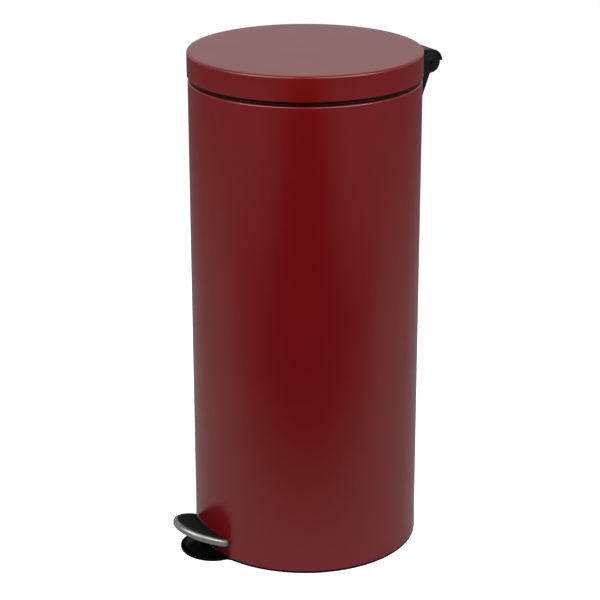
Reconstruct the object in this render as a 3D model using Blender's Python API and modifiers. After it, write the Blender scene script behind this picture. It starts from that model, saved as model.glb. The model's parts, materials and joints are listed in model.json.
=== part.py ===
"""Round pedal bin for oily waste: a painted steel can whose hinged lid is lifted by a foot pedal.

Metres, +Z up.  The can stands on Z = 0 around the Z axis, the pedal points to -Y and the lid
hinge is at +Y.  The pedal turns a long lever under the bucket, the lever lifts a rod behind the
bucket, and the rod lifts a crank that is fixed to the lid beyond the hinge pin.
"""
import bpy
import bmesh
from math import atan, cos, hypot, pi, radians, sin, sqrt, tan

MM = 0.001

# Clearances
GAP = 0.3 * MM               # between pieces that touch or are joined
RUN = 0.4 * MM               # around a pin or rod that something turns or slides on
WALL_CLEAR = 2.2 * MM        # between the pedal and the can
OPEN_PIVOT = 0.7 * MM        # between the rod's head and the crank's nose, which only push
FOOT_PLAY = 0.5 * MM         # between the lever and the rod's foot, which only push
SWING_CLEAR = 1.2 * MM       # around a lever in its slot

# Can
BODY_RADIUS = 146.5 * MM
BODY_HEIGHT = 615.0 * MM
BODY_WALL = 1.0 * MM
HEM_HEIGHT = 4.0 * MM        # folded top edge
HEM_FILLET = 0.6 * MM

# Base
RIM_LIFT = 0.4 * MM          # moulded rim stands this far above the floor, on rubber feet
RIM_TOP = 2.6 * MM           # visible black line under the can
RIM_WIDTH = 8.0 * MM
BASE_WALL = 3.0 * MM
BASE_WALL_TOP = 45.0 * MM
FLOOR_BOTTOM = 3.4 * MM
FLOOR_TOP = 6.4 * MM
FOOT_RADIUS = 9.0 * MM
FOOT_INSET = 31.5 * MM       # foot centres, in from the can's outside
FOOT_WALL = 2.5 * MM
FOOT_COUNT = 4

# Tongue in front of the base, under the pedal
TONGUE_REACH = 35.5 * MM     # beyond the can
TONGUE_ROOT = 4.5 * MM       # its widest line lies this far inside the can's outside
TONGUE_HALF_WIDTH = 43.5 * MM
TONGUE_LIFT = 0.6 * MM
TONGUE_HEIGHT = 5.5 * MM
TONGUE_RIM = 3.5 * MM
TONGUE_DISH = 2.6 * MM       # top of its floor inside the rim

# Pedal
PEDAL_TILT = radians(19.5)
PEDAL_ROOT = 5.0 * MM        # its straight end lies this far inside the can's outside, seen from above
PEDAL_RISE = 24.0 * MM       # height of its mid plane there
PEDAL_HALF_WIDTH = 48.5 * MM
PEDAL_LENGTH = 53.8 * MM
TRIM_HEIGHT = 10.0 * MM
TRIM_WIDTH = 5.0 * MM
TREAD_TOP = 5.2 * MM         # over the mid plane
TREAD_BOTTOM = 0.6 * MM
PLATE_THICK = 2.0 * MM
RIVET_X = 12.0 * MM
RIVET_OUT = 24.0 * MM
RIVET_RADIUS = 2.2 * MM
RIVET_HEAD = 4.4 * MM

# Lever and its axle
PIVOT_INSET = 61.5 * MM
PIVOT_Z = 24.0 * MM
AXLE_RADIUS = 3.0 * MM
BUSH_WALL = 1.5 * MM
HUB_WALL = 2.4 * MM
HUB_HALF_LENGTH = 26.5 * MM
LUG_THICK = 4.0 * MM
LUG_HALF_DEPTH = 9.0 * MM
CLIP_THICK = 1.2 * MM
CLIP_RADIUS = 6.0 * MM
FRONT_BAR_HALF_WIDTH = 20.0 * MM
FRONT_BAR_THICK = 4.0 * MM
FRONT_BAR_END = 36.0 * MM
REAR_BAR_HALF_WIDTH = 6.0 * MM
REAR_BAR_THICK = 5.0 * MM
REAR_BAR_OVERRUN = 3.2 * MM  # beyond the rod
LEVER_DROP = 12.0 * MM       # rear end below the axle, at rest
SLOT_SIDE = 3.0 * MM

# Push rod
ROD_INSET = 5.2 * MM         # rod's axis inside the can's inner wall
ROD_RADIUS = 2.5 * MM
ROD_END_WALL = 1.7 * MM
FOOT_HEIGHT = 9.0 * MM
HEAD_HEIGHT = 5.0 * MM
HEAD_HALF_WIDTH = 5.0 * MM
HEAD_INWARD = 7.8 * MM
SOCKET_DEPTH = 3.0 * MM
GUIDE_HEIGHT = 12.0 * MM
GUIDE_HALF_WIDTH = 8.0 * MM
GUIDE_INWARD = 6.0 * MM
LOW_GUIDE_Z = 120.0 * MM
HIGH_GUIDE_DROP = 190.0 * MM  # below the can's top

# Hinge
LID_SWING = radians(60)
PIN_STANDOFF = 31.0 * MM     # outside the can
PIN_RISE = 1.8 * MM          # above the can's top
PIN_RADIUS = 2.0 * MM
PIN_END_RECESS = 1.2 * MM
HINGE_HALF_WIDTH = 16.0 * MM
CHEEK_THICK = 5.0 * MM
CHEEK_RADIUS = 13.5 * MM
HOOD_CLEAR = 0.6 * MM
HOOD_WALL = 3.0 * MM
HOOD_REAR_LIFT = 1.3 * MM
TAIL_LENGTH = 85.0 * MM      # of the bracket, below the can's top
BRACKET_SLOT_DEPTH = 29.0 * MM
ARM_HALF_WIDTH = 3.0 * MM    # at the eye
CRANK_HALF_WIDTH = 2.5 * MM
LIMB_HALF_WIDTH = 2.8 * MM
EYE_RADIUS = 10.0 * MM
NOSE_RADIUS = 3.0 * MM
CRANK_TOP = 9.0 * MM         # upper edge of the crank, above its line from pin to nose
CROSS_PIN_RADIUS = 1.6 * MM
NOTCH_HALF_WIDTH = 7.0 * MM
NOTCH_DEPTH = 16.0 * MM
BACKPLATE_THICK = 1.5 * MM
BACKPLATE_HALF_WIDTH = 14.0 * MM
BACKPLATE_DROP = 29.0 * MM
BACKPLATE_HEIGHT = 40.0 * MM
SCREW_X = 9.0 * MM
SCREW_RADIUS = 1.7 * MM
SCREW_HEAD = 3.4 * MM
SCREW_HEAD_HEIGHT = 2.0 * MM
SCREW_DROPS = (39.0 * MM, 59.0 * MM)

# Collar and bucket
COLLAR_RISE = 2.8 * MM       # above the can's top
COLLAR_WALL = 3.0 * MM
COLLAR_DEPTH = 17.0 * MM
COLLAR_SKIRT_WALL = 2.0 * MM
LEDGE_DROP = 6.0 * MM        # ledge's top, below the can's top
LEDGE_THICK = 3.0 * MM
BUCKET_INSET = 20.5 * MM     # bucket's outside at its rim, in from the can's outside
BUCKET_TAPER = 8.0 * MM
BUCKET_WALL = 2.5 * MM
BUCKET_BOTTOM = 76.0 * MM
FLANGE_REACH = 12.0 * MM
FLANGE_THICK = 2.5 * MM
LEDGE_MARGIN = 1.5 * MM
GRIP_HALF_WIDTH = 40.0 * MM
GRIP_HEIGHT = 25.0 * MM
GRIP_DROP = 14.0 * MM        # grip opening's top, below the can's top
RIM_RING_BELOW = 4.0 * MM    # bucket's rim ring, below the grip openings
RIM_RING_LAP = 8.0 * MM
LAP_WALL = 1.5 * MM

# Lid
LID_RADIUS = 147.4 * MM
LID_LIFT = 6.0 * MM          # dark gap between the can and the lid
LID_DEPTH = 31.0 * MM
LID_EDGE = 4.0 * MM
LID_WALL = 1.0 * MM
LINER_WALL = 5.0 * MM
LINER_TOP_WALL = 2.5 * MM
LINER_LIP = 1.6 * MM
LID_SCREW_RISE = 9.5 * MM    # above the lid's lower edge
LID_SCREW_LENGTH = 15.0 * MM

RING_STEPS = 72
ROUND_STEPS = 24
ARC_STEPS = 4
CUT = 60 * MM                # how far a cutter runs past what it cuts
SIDE_ON = (pi / 2, 0, pi / 2)  # local X to +Y, local Y to +Z, local Z to +X
ALONG_X = (0, pi / 2, 0)
ALONG_Y = (-pi / 2, 0, 0)

# Places that follow from the sizes above
BODY_INSIDE = BODY_RADIUS - BODY_WALL
BODY_BOTTOM = RIM_TOP + GAP
ROD_Y = BODY_INSIDE - ROD_INSET
PIN_Y = BODY_RADIUS + PIN_STANDOFF
PIN_Z = BODY_HEIGHT + PIN_RISE
CRANK_LENGTH = (PIN_Y - ROD_Y) / cos(LID_SWING / 2)
ROD_TRAVEL = 2 * CRANK_LENGTH * sin(LID_SWING / 2)
PIVOT_Y = PIVOT_INSET - BODY_RADIUS
REAR_ARM = ROD_Y - PIVOT_Y
REAR_ANGLE = atan(LEVER_DROP / REAR_ARM)
LEVER_TOP_AT_ROD = PIVOT_Z - LEVER_DROP + REAR_BAR_THICK / 2 / cos(REAR_ANGLE)
ROD_FOOT_Z = LEVER_TOP_AT_ROD + FOOT_PLAY
NOSE_Z = PIN_Z - CRANK_LENGTH * sin(LID_SWING / 2)
ROD_HEAD_TOP = NOSE_Z - NOSE_RADIUS - OPEN_PIVOT
ROD_HEAD_BOTTOM = ROD_HEAD_TOP - HEAD_HEIGHT
BASE_OUTER = BODY_INSIDE - GAP
HEM_INSIDE = BODY_INSIDE - BODY_WALL
COLLAR_OUTER = HEM_INSIDE - GAP
COLLAR_TOP = BODY_HEIGHT + COLLAR_RISE
LEDGE_TOP = BODY_HEIGHT - LEDGE_DROP
BUCKET_RADIUS = BODY_RADIUS - BUCKET_INSET
FLANGE_BOTTOM = LEDGE_TOP + GAP
GRIP_TOP = BODY_HEIGHT - GRIP_DROP
RIM_RING_BOTTOM = GRIP_TOP - GRIP_HEIGHT - RIM_RING_BELOW
LID_BOTTOM = BODY_HEIGHT + LID_LIFT
LID_TOP = LID_BOTTOM + LID_DEPTH
LINER_BOTTOM = COLLAR_TOP + GAP
LINER_OUTER = LID_RADIUS - LID_WALL - GAP
HOOD_INNER = CHEEK_RADIUS + HOOD_CLEAR
HOOD_OUTER = HOOD_INNER + HOOD_WALL
HOOD_FRONT = LID_RADIUS + GAP
CHEEK_INNER = HINGE_HALF_WIDTH - CHEEK_THICK
LUG_INNER = HUB_HALF_LENGTH + RUN
HUB_BORE = AXLE_RADIUS + RUN + BUSH_WALL + GAP
PLATE_TOP = TREAD_BOTTOM - GAP
PLATE_BOTTOM = PLATE_TOP - PLATE_THICK
BAR_TOP = PLATE_BOTTOM - GAP
BAR_MID = BAR_TOP - FRONT_BAR_THICK / 2
BAR_BOTTOM = BAR_TOP - FRONT_BAR_THICK


# ---------------------------------------------------------------- scene and materials

def clear_scene():
    """Remove every object that the file holds."""
    for old in list(bpy.data.objects):
        bpy.data.objects.remove(old, do_unlink=True)


def collection(name):
    """A new collection in the scene."""
    made = bpy.data.collections.new(name)
    bpy.context.scene.collection.children.link(made)
    return made


def material(name, colour, roughness, metallic=0.0):
    """A plain Principled material."""
    made = bpy.data.materials.new(name)
    made.use_nodes = True
    shader = made.node_tree.nodes["Principled BSDF"]
    shader.inputs["Base Color"].default_value = (*colour, 1.0)
    shader.inputs["Roughness"].default_value = roughness
    shader.inputs["Metallic"].default_value = metallic
    return made


def axis_empty(name, place, turn=(0, 0, 0), parent=None):
    """An empty that stands for a joint's axis or a tilted plane."""
    empty = bpy.data.objects.new(name, None)
    empty.location = place
    empty.rotation_euler = turn
    empty.empty_display_size = 0.02
    PARTS.objects.link(empty)
    bpy.context.view_layer.update()
    if parent:
        keep_place(empty, parent)
    return empty


def keep_place(obj, parent):
    """Parent an object and leave it where it stands."""
    bpy.context.view_layer.update()
    obj.parent = parent
    obj.matrix_parent_inverse = parent.matrix_world.inverted()
    bpy.context.view_layer.update()


def finish(obj, finish_of, parent=None):
    """Give a piece its material, smooth shading and parent."""
    obj.data.materials.clear()
    obj.data.materials.append(finish_of)
    obj.data.shade_smooth()
    if obj.data.polygons:
        obj.data.set_sharp_from_angle(angle=radians(35))
    if parent:
        keep_place(obj, parent)
    return obj


def as_cutter(obj):
    """Move a shape among the cutters and hide it from renders."""
    for holder in list(obj.users_collection):
        holder.objects.unlink(obj)
    CUTTERS.objects.link(obj)
    obj.hide_render = True
    obj.display_type = "WIRE"
    return obj


# ---------------------------------------------------------------- shapes

def arc(centre, radius, start, end, steps=ARC_STEPS):
    """Points along an arc, both ends included; angles in degrees."""
    turns = [radians(start + (end - start) * i / steps) for i in range(steps + 1)]
    return [(centre[0] + radius * cos(t), centre[1] + radius * sin(t)) for t in turns]


def circle(centre, radius, steps=ROUND_STEPS):
    """Points around a full circle."""
    return arc(centre, radius, 0, 360 * (steps - 1) / steps, steps - 1)


def half_ellipse(half_width, length, steps=32):
    """Points from (+half_width, 0) round (0, -length) to (-half_width, 0)."""
    turns = [pi * i / steps for i in range(steps + 1)]
    return [(half_width * cos(t), -length * sin(t)) for t in turns]


def turned(name, profile, closed=False, steps=RING_STEPS, place=(0, 0, 0), turn=(0, 0, 0)):
    """A profile of (radius, height) points, turned round local Z by a Screw modifier."""
    mesh = bpy.data.meshes.new(name)
    count = len(profile)
    edges = [(i, i + 1) for i in range(count - 1)]
    if closed:
        edges.append((count - 1, 0))
    mesh.from_pydata([(r, 0, z) for r, z in profile], edges, [])
    obj = bpy.data.objects.new(name, mesh)
    obj.location = place
    obj.rotation_euler = turn
    PARTS.objects.link(obj)
    screw = obj.modifiers.new("Turn", "SCREW")
    screw.axis = "Z"
    screw.steps = steps
    screw.render_steps = steps
    screw.use_merge_vertices = True
    screw.merge_threshold = 0.00001
    screw.use_smooth_shade = True
    return obj


def plate(name, outlines, thickness, place=(0, 0, 0), turn=(0, 0, 0)):
    """A flat outline with its holes, as thick as given, centred on its own plane."""
    curve = bpy.data.curves.new(name, "CURVE")
    curve.dimensions = "2D"
    curve.fill_mode = "BOTH"
    curve.extrude = thickness / 2
    for outline in outlines:
        spline = curve.splines.new("POLY")
        spline.points.add(len(outline) - 1)
        spline.use_cyclic_u = True
        for point, (x, y) in zip(spline.points, outline):
            point.co = (x, y, 0, 1)
    drawn = bpy.data.objects.new(name + "_outline", curve)
    drawn.location = place
    drawn.rotation_euler = turn
    PARTS.objects.link(drawn)
    return made_mesh(drawn, name)


def made_mesh(drawn, name):
    """Turn a curve object into a welded mesh object in the same place."""
    bpy.context.view_layer.update()
    graph = bpy.context.evaluated_depsgraph_get()
    mesh = bpy.data.meshes.new_from_object(drawn.evaluated_get(graph))
    mesh.name = name
    work = bmesh.new()
    work.from_mesh(mesh)
    bmesh.ops.remove_doubles(work, verts=work.verts, dist=0.000001)
    bmesh.ops.recalc_face_normals(work, faces=work.faces)
    work.to_mesh(mesh)
    work.free()
    obj = bpy.data.objects.new(name, mesh)
    PARTS.objects.link(obj)
    obj.matrix_world = drawn.matrix_world
    bpy.data.objects.remove(drawn, do_unlink=True)
    return obj


def block(name, low, high):
    """A box between two corners."""
    middle = [(a + b) / 2 for a, b in zip(low, high)]
    bpy.ops.mesh.primitive_cube_add(size=1, location=middle)
    obj = bpy.context.object
    obj.name = name
    obj.scale = [b - a for a, b in zip(low, high)]
    bpy.ops.object.transform_apply(location=False, rotation=False, scale=True)
    for holder in list(obj.users_collection):
        holder.objects.unlink(obj)
    PARTS.objects.link(obj)
    return obj


def cylinder(name, radius, length, place, turn=(0, 0, 0), steps=ROUND_STEPS):
    """A plain cylinder, centred on its place."""
    bpy.ops.mesh.primitive_cylinder_add(
        vertices=steps, radius=radius, depth=length, location=place, rotation=turn)
    obj = bpy.context.object
    obj.name = name
    for holder in list(obj.users_collection):
        holder.objects.unlink(obj)
    PARTS.objects.link(obj)
    return obj


def boolean(obj, other, operation):
    """Cut, join or trim a piece with another shape, which becomes a cutter."""
    step = obj.modifiers.new(other.name, "BOOLEAN")
    step.operation = operation
    step.solver = "EXACT"
    step.object = as_cutter(other)


def cut(obj, *others):
    """Cut shapes away from a piece."""
    for other in others:
        boolean(obj, other, "DIFFERENCE")


def join(obj, *others):
    """Join shapes to a piece."""
    for other in others:
        boolean(obj, other, "UNION")


def soften(obj, width, segments=2):
    """Round a piece's sharp edges."""
    bevel = obj.modifiers.new("Rounded edges", "BEVEL")
    bevel.width = width
    bevel.segments = segments
    bevel.limit_method = "ANGLE"
    bevel.angle_limit = radians(40)


def fastener(name, shank_radius, length, head_radius, head_height, place, turn):
    """A screw or rivet: shank along local +Z from its place, head below it."""
    profile = [(0, length), (shank_radius, length), (shank_radius, 0), (head_radius, 0)]
    profile += [(head_radius, -head_height / 2), (head_radius * 0.7, -head_height), (0, -head_height)]
    return turned(name, profile, steps=ROUND_STEPS // 2, place=place, turn=turn)


def strip(path, thickness):
    """Outline of a strip of even thickness along a centre line of two or three points."""
    left = []
    right = []
    for i, point in enumerate(path):
        before = path[max(i - 1, 0)]
        after = path[min(i + 1, len(path) - 1)]
        incoming = unit(before, point) if i else unit(point, after)
        outgoing = unit(point, after) if i < len(path) - 1 else incoming
        normal = (-(incoming[1] + outgoing[1]), incoming[0] + outgoing[0])
        along = normal[0] * -incoming[1] + normal[1] * incoming[0]
        half = thickness / 2 / along
        left.append((point[0] + normal[0] * half, point[1] + normal[1] * half))
        right.append((point[0] - normal[0] * half, point[1] - normal[1] * half))
    return left + right[::-1]


def unit(start, end):
    """Direction from one point of an outline to another."""
    length = sqrt((end[0] - start[0]) ** 2 + (end[1] - start[1]) ** 2)
    return ((end[0] - start[0]) / length, (end[1] - start[1]) / length)


# ---------------------------------------------------------------- can and base

def make_body_shell():
    """Painted steel can with a folded top edge, a lever slot and a notch for the crank."""
    outer = BODY_RADIUS
    hem_bottom = BODY_HEIGHT - HEM_HEIGHT
    profile = [(HEM_INSIDE + HEM_FILLET, BODY_HEIGHT), (outer - HEM_FILLET, BODY_HEIGHT)]
    profile += [(outer, BODY_HEIGHT - HEM_FILLET), (outer, BODY_BOTTOM)]
    profile += [(BODY_INSIDE, BODY_BOTTOM), (BODY_INSIDE, hem_bottom)]
    profile += [(HEM_INSIDE, hem_bottom), (HEM_INSIDE, BODY_HEIGHT - HEM_FILLET)]
    shell = turned("body_shell", profile, closed=True)
    cut(shell, lever_slot("shell_slot"), crank_notch("shell_notch"))
    for drop in SCREW_DROPS:
        for side in (-1, 1):
            cut(shell, screw_hole(side, drop))
    return finish(shell, RED_PAINT)


def lever_slot(name):
    """Cutter for the slot that the lever's front bar moves in."""
    bar_top = PIVOT_Z + SWING_CLEAR
    half_width = FRONT_BAR_HALF_WIDTH + SLOT_SIDE
    low = (-half_width, -BODY_RADIUS - WALL_CLEAR, FLOOR_TOP)
    high = (half_width, -BODY_RADIUS + RIM_WIDTH, bar_top)
    return block(name, low, high)


def crank_notch(name, depth=NOTCH_DEPTH):
    """Cutter for the notch behind the rim that the crank and the rod's head move in."""
    half_width = NOTCH_HALF_WIDTH
    crank_reach = hypot(CRANK_LENGTH + NOSE_RADIUS, CRANK_TOP)
    inner = min(ROD_Y - HEAD_INWARD, PIN_Y - crank_reach) - RUN
    tilt = LID_SWING / 2
    crank_low = PIN_Z - (PIN_Y - BODY_INSIDE) * tan(tilt) + NOSE_RADIUS / cos(tilt)
    low = (-half_width, inner, min(BODY_HEIGHT - depth, crank_low - RUN))
    high = (half_width, BODY_RADIUS + CUT, BODY_HEIGHT + CUT)
    return block(name, low, high)


def screw_hole(side, drop):
    """Cutter for a bracket screw's hole in the sheet."""
    place = (side * SCREW_X, BODY_RADIUS, BODY_HEIGHT - drop)
    return cylinder("screw_hole", SCREW_RADIUS + RUN, 2 * RIM_WIDTH, place, ALONG_Y)


def make_base_moulding():
    """Black moulded base: rim, wall inside the can, floor, tongue, axle lugs and foot sockets."""
    inner = BASE_OUTER - BASE_WALL
    rim_inner = BODY_RADIUS - RIM_WIDTH
    profile = [(0, FLOOR_TOP), (inner, FLOOR_TOP), (inner, BASE_WALL_TOP)]
    profile += [(BASE_OUTER, BASE_WALL_TOP), (BASE_OUTER, RIM_TOP), (BODY_RADIUS, RIM_TOP)]
    profile += [(BODY_RADIUS, RIM_LIFT), (rim_inner, RIM_LIFT)]
    profile += [(rim_inner, FLOOR_BOTTOM), (0, FLOOR_BOTTOM)]
    base = turned("base_moulding", profile)
    join(base, tongue(), axle_lug(-1), axle_lug(1))
    cut(base, lever_slot("base_slot"), rod_recess())
    for place in foot_places():
        join(base, foot_boss(place))
        cut(base, foot_pocket(place))
    return finish(base, BLACK_PLASTIC)


def tongue():
    """Flat half-round tongue with a raised rim, kept clear of the can above the base's rim."""
    root_y = TONGUE_ROOT - BODY_RADIUS
    length = TONGUE_REACH + TONGUE_ROOT
    outline = half_ellipse(TONGUE_HALF_WIDTH, length)
    outline = [(TONGUE_HALF_WIDTH, RIM_WIDTH / 4)] + outline + [(-TONGUE_HALF_WIDTH, RIM_WIDTH / 4)]
    height = TONGUE_HEIGHT - TONGUE_LIFT
    place = (0, root_y, TONGUE_LIFT + height / 2)
    slab = plate("tongue", [outline], height, place)
    dish_half_width = TONGUE_HALF_WIDTH - TONGUE_RIM
    dish = half_ellipse(dish_half_width, length - TONGUE_RIM)
    dish = [(dish_half_width, RIM_WIDTH)] + dish + [(-dish_half_width, RIM_WIDTH)]
    dish_middle = TONGUE_DISH + TONGUE_HEIGHT / 2
    hollow = plate("tongue_dish", [dish], TONGUE_HEIGHT, (0, root_y, dish_middle))
    can = cylinder("tongue_can", BODY_RADIUS + GAP, CUT, (0, 0, RIM_TOP + CUT / 2), steps=RING_STEPS)
    cut(slab, hollow, can)
    return slab


def axle_lug(side):
    """Upright lug on the base's floor, with the axle's hole."""
    low = FLOOR_BOTTOM + GAP - PIVOT_Z
    half = LUG_HALF_DEPTH
    outline = [(-half, low), (half, low)] + arc((0, 0), half, 0, 180, 3 * ARC_STEPS)
    hole = circle((0, 0), AXLE_RADIUS + GAP)
    middle = side * (LUG_INNER + LUG_THICK / 2)
    return plate("axle_lug", [outline, hole], LUG_THICK, (middle, PIVOT_Y, PIVOT_Z), SIDE_ON)


def rod_recess():
    """Cutter for the recess in the base's wall behind the rod's foot."""
    half = ROD_RADIUS + ROD_END_WALL + 2 * SLOT_SIDE
    low = (-half, BASE_OUTER - 2 * BASE_WALL, FLOOR_TOP)
    high = (half, BODY_RADIUS, BASE_WALL_TOP + CUT)
    return block("rod_recess", low, high)


def foot_places():
    """Centres of the rubber feet, evenly round the base."""
    radius = BODY_RADIUS - FOOT_INSET
    turns = [2 * pi * (i + 0.5) / FOOT_COUNT for i in range(FOOT_COUNT)]
    return [(radius * cos(t), radius * sin(t)) for t in turns]


def foot_boss(place):
    """Boss under the base's floor that holds a foot."""
    low = 2 * RIM_LIFT
    high = (FLOOR_BOTTOM + FLOOR_TOP) / 2
    centre = (place[0], place[1], (low + high) / 2)
    return cylinder("foot_boss", FOOT_RADIUS + GAP + FOOT_WALL, high - low, centre)


def foot_pocket(place):
    """Cutter for a foot's socket."""
    centre = (place[0], place[1], FLOOR_BOTTOM - CUT / 2)
    return cylinder("foot_pocket", FOOT_RADIUS + GAP, CUT, centre)


def make_feet():
    """Rubber feet that carry the can."""
    height = FLOOR_BOTTOM - GAP
    for number, place in enumerate(foot_places(), 1):
        centre = (place[0], place[1], height / 2)
        foot = cylinder(f"rubber_foot_{number}", FOOT_RADIUS, height, centre)
        soften(foot, 0.6 * MM, 1)
        finish(foot, RUBBER)


def make_rim_collar():
    """Black collar inside the can's top edge, with the ledge that the bucket hangs on."""
    bottom = BODY_HEIGHT - COLLAR_DEPTH
    hem_bottom = BODY_HEIGHT - HEM_HEIGHT - GAP
    skirt_inner = BASE_OUTER - COLLAR_SKIRT_WALL
    upstand_inner = COLLAR_OUTER - COLLAR_WALL
    ledge_inner = BUCKET_RADIUS + LEDGE_MARGIN
    ledge_bottom = LEDGE_TOP - LEDGE_THICK
    profile = [(upstand_inner, COLLAR_TOP), (COLLAR_OUTER, COLLAR_TOP), (COLLAR_OUTER, hem_bottom)]
    profile += [(BASE_OUTER, hem_bottom), (BASE_OUTER, bottom), (skirt_inner, bottom)]
    profile += [(skirt_inner, ledge_bottom), (ledge_inner, ledge_bottom), (ledge_inner, LEDGE_TOP)]
    profile += [(upstand_inner, LEDGE_TOP)]
    collar = turned("rim_collar", profile, closed=True)
    cut(collar, crank_notch("collar_notch", COLLAR_DEPTH + RUN))
    return finish(collar, BLACK_PLASTIC)


def bucket_radius(height):
    """Outside radius of the bucket's tapered wall at a height."""
    share = (height - BUCKET_BOTTOM) / (FLANGE_BOTTOM - BUCKET_BOTTOM)
    return BUCKET_RADIUS - BUCKET_TAPER * (1 - share)


def make_inner_bucket():
    """Tapered wall and bottom of the black plastic bucket."""
    top = RIM_RING_BOTTOM - GAP
    outer = bucket_radius(top)
    foot = bucket_radius(BUCKET_BOTTOM)
    profile = [(0, BUCKET_BOTTOM + BUCKET_WALL), (foot - BUCKET_WALL, BUCKET_BOTTOM + BUCKET_WALL)]
    profile += [(outer - BUCKET_WALL, top), (outer, top), (foot, BUCKET_BOTTOM), (0, BUCKET_BOTTOM)]
    return finish(turned("inner_bucket", profile), GREY_PLASTIC)


def make_bucket_rim():
    """Rim ring that laps over the bucket's wall and hangs in the collar, with two finger openings."""
    top = FLANGE_BOTTOM + FLANGE_THICK
    outer = bucket_radius(RIM_RING_BOTTOM)
    lap_bottom = RIM_RING_BOTTOM - RIM_RING_LAP
    lap = bucket_radius(lap_bottom) + 2 * GAP
    profile = [(outer - BUCKET_WALL, RIM_RING_BOTTOM), (BUCKET_RADIUS - BUCKET_WALL, top)]
    profile += [(BUCKET_RADIUS + FLANGE_REACH, top), (BUCKET_RADIUS + FLANGE_REACH, FLANGE_BOTTOM)]
    profile += [(BUCKET_RADIUS, FLANGE_BOTTOM), (outer + LAP_WALL, RIM_RING_BOTTOM)]
    profile += [(lap + LAP_WALL, lap_bottom), (lap, lap_bottom), (lap, RIM_RING_BOTTOM)]
    rim = turned("bucket_rim", profile, closed=True)
    for side in (-1, 1):
        middle = side * BUCKET_RADIUS
        low = (middle - 2 * BUCKET_TAPER, -GRIP_HALF_WIDTH, GRIP_TOP - GRIP_HEIGHT)
        high = (middle + 2 * BUCKET_TAPER, GRIP_HALF_WIDTH, GRIP_TOP)
        cut(rim, block("grip_opening", low, high))
    cut(rim, crank_notch("bucket_notch"))
    return finish(rim, GREY_PLASTIC)


# ---------------------------------------------------------------- hinge

def make_hinge_bracket():
    """Black bracket behind the can: two cheeks round the hinge pin and a tail down the wall."""
    bottom = BODY_HEIGHT - TAIL_LENGTH
    front = BODY_RADIUS - BODY_WALL
    rear_low = (BODY_RADIUS + GAP + 2 * BODY_WALL, bottom)
    outline = [(front, bottom), rear_low]
    outline += arc((PIN_Y, PIN_Z), CHEEK_RADIUS, -95, 200, 5 * ARC_STEPS)
    outline += [(front, PIN_Z - CHEEK_RADIUS / 2)]
    hole = circle((PIN_Y, PIN_Z), PIN_RADIUS + GAP, ROUND_STEPS // 2)
    bracket = plate("hinge_bracket", [outline, hole], 2 * HINGE_HALF_WIDTH, (0, 0, 0), SIDE_ON)
    slot_low = (-CHEEK_INNER, BODY_RADIUS - CUT, BODY_HEIGHT - BRACKET_SLOT_DEPTH)
    slot_high = (CHEEK_INNER, PIN_Y + CUT, PIN_Z + CUT)
    centre = (0, 0, BODY_HEIGHT - TAIL_LENGTH)
    can = cylinder("bracket_can", BODY_RADIUS + GAP, 4 * TAIL_LENGTH, centre, steps=RING_STEPS)
    cut(bracket, block("bracket_slot", slot_low, slot_high), can)
    for drop in SCREW_DROPS:
        for side in (-1, 1):
            cut(bracket, screw_hole(side, drop))
    return finish(bracket, BLACK_PLASTIC)


def make_hinge_backplate():
    """Curved steel plate inside the can that the bracket's screws pull on."""
    top = min(BODY_HEIGHT - BACKPLATE_DROP, ROD_HEAD_BOTTOM - RUN)
    bottom = BODY_HEIGHT - BACKPLATE_DROP - BACKPLATE_HEIGHT
    inner = BASE_OUTER - BACKPLATE_THICK
    profile = [(inner, top), (BASE_OUTER, top), (BASE_OUTER, bottom), (inner, bottom)]
    backplate = turned("hinge_backplate", profile, closed=True)
    low = (-BACKPLATE_HALF_WIDTH, 0, bottom - CUT)
    high = (BACKPLATE_HALF_WIDTH, BODY_RADIUS + CUT, top + CUT)
    boolean(backplate, block("backplate_width", low, high), "INTERSECT")
    for drop in SCREW_DROPS:
        for side in (-1, 1):
            cut(backplate, screw_hole(side, drop))
    return finish(backplate, ZINC)


def make_bracket_screws():
    """Screws from inside the can into the bracket."""
    inner = BASE_OUTER - BACKPLATE_THICK
    edge = SCREW_X + SCREW_HEAD
    head_y = sqrt(inner ** 2 - edge ** 2) - GAP
    length = BODY_RADIUS + RIM_WIDTH - GAP - head_y
    number = 0
    for drop in SCREW_DROPS:
        for side in (-1, 1):
            number += 1
            place = (side * SCREW_X, head_y, BODY_HEIGHT - drop)
            screw = fastener(f"bracket_screw_{number}", SCREW_RADIUS, length,
                             SCREW_HEAD, SCREW_HEAD_HEIGHT, place, ALONG_Y)
            finish(screw, ZINC)


def make_hinge_pin():
    """Steel pin through the cheeks and the lid's arm."""
    length = 2 * (HINGE_HALF_WIDTH - PIN_END_RECESS)
    pin = cylinder("hinge_pin", PIN_RADIUS, length, (0, PIN_Y, PIN_Z), ALONG_X, ROUND_STEPS // 2)
    return finish(pin, BARE_STEEL)


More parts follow.
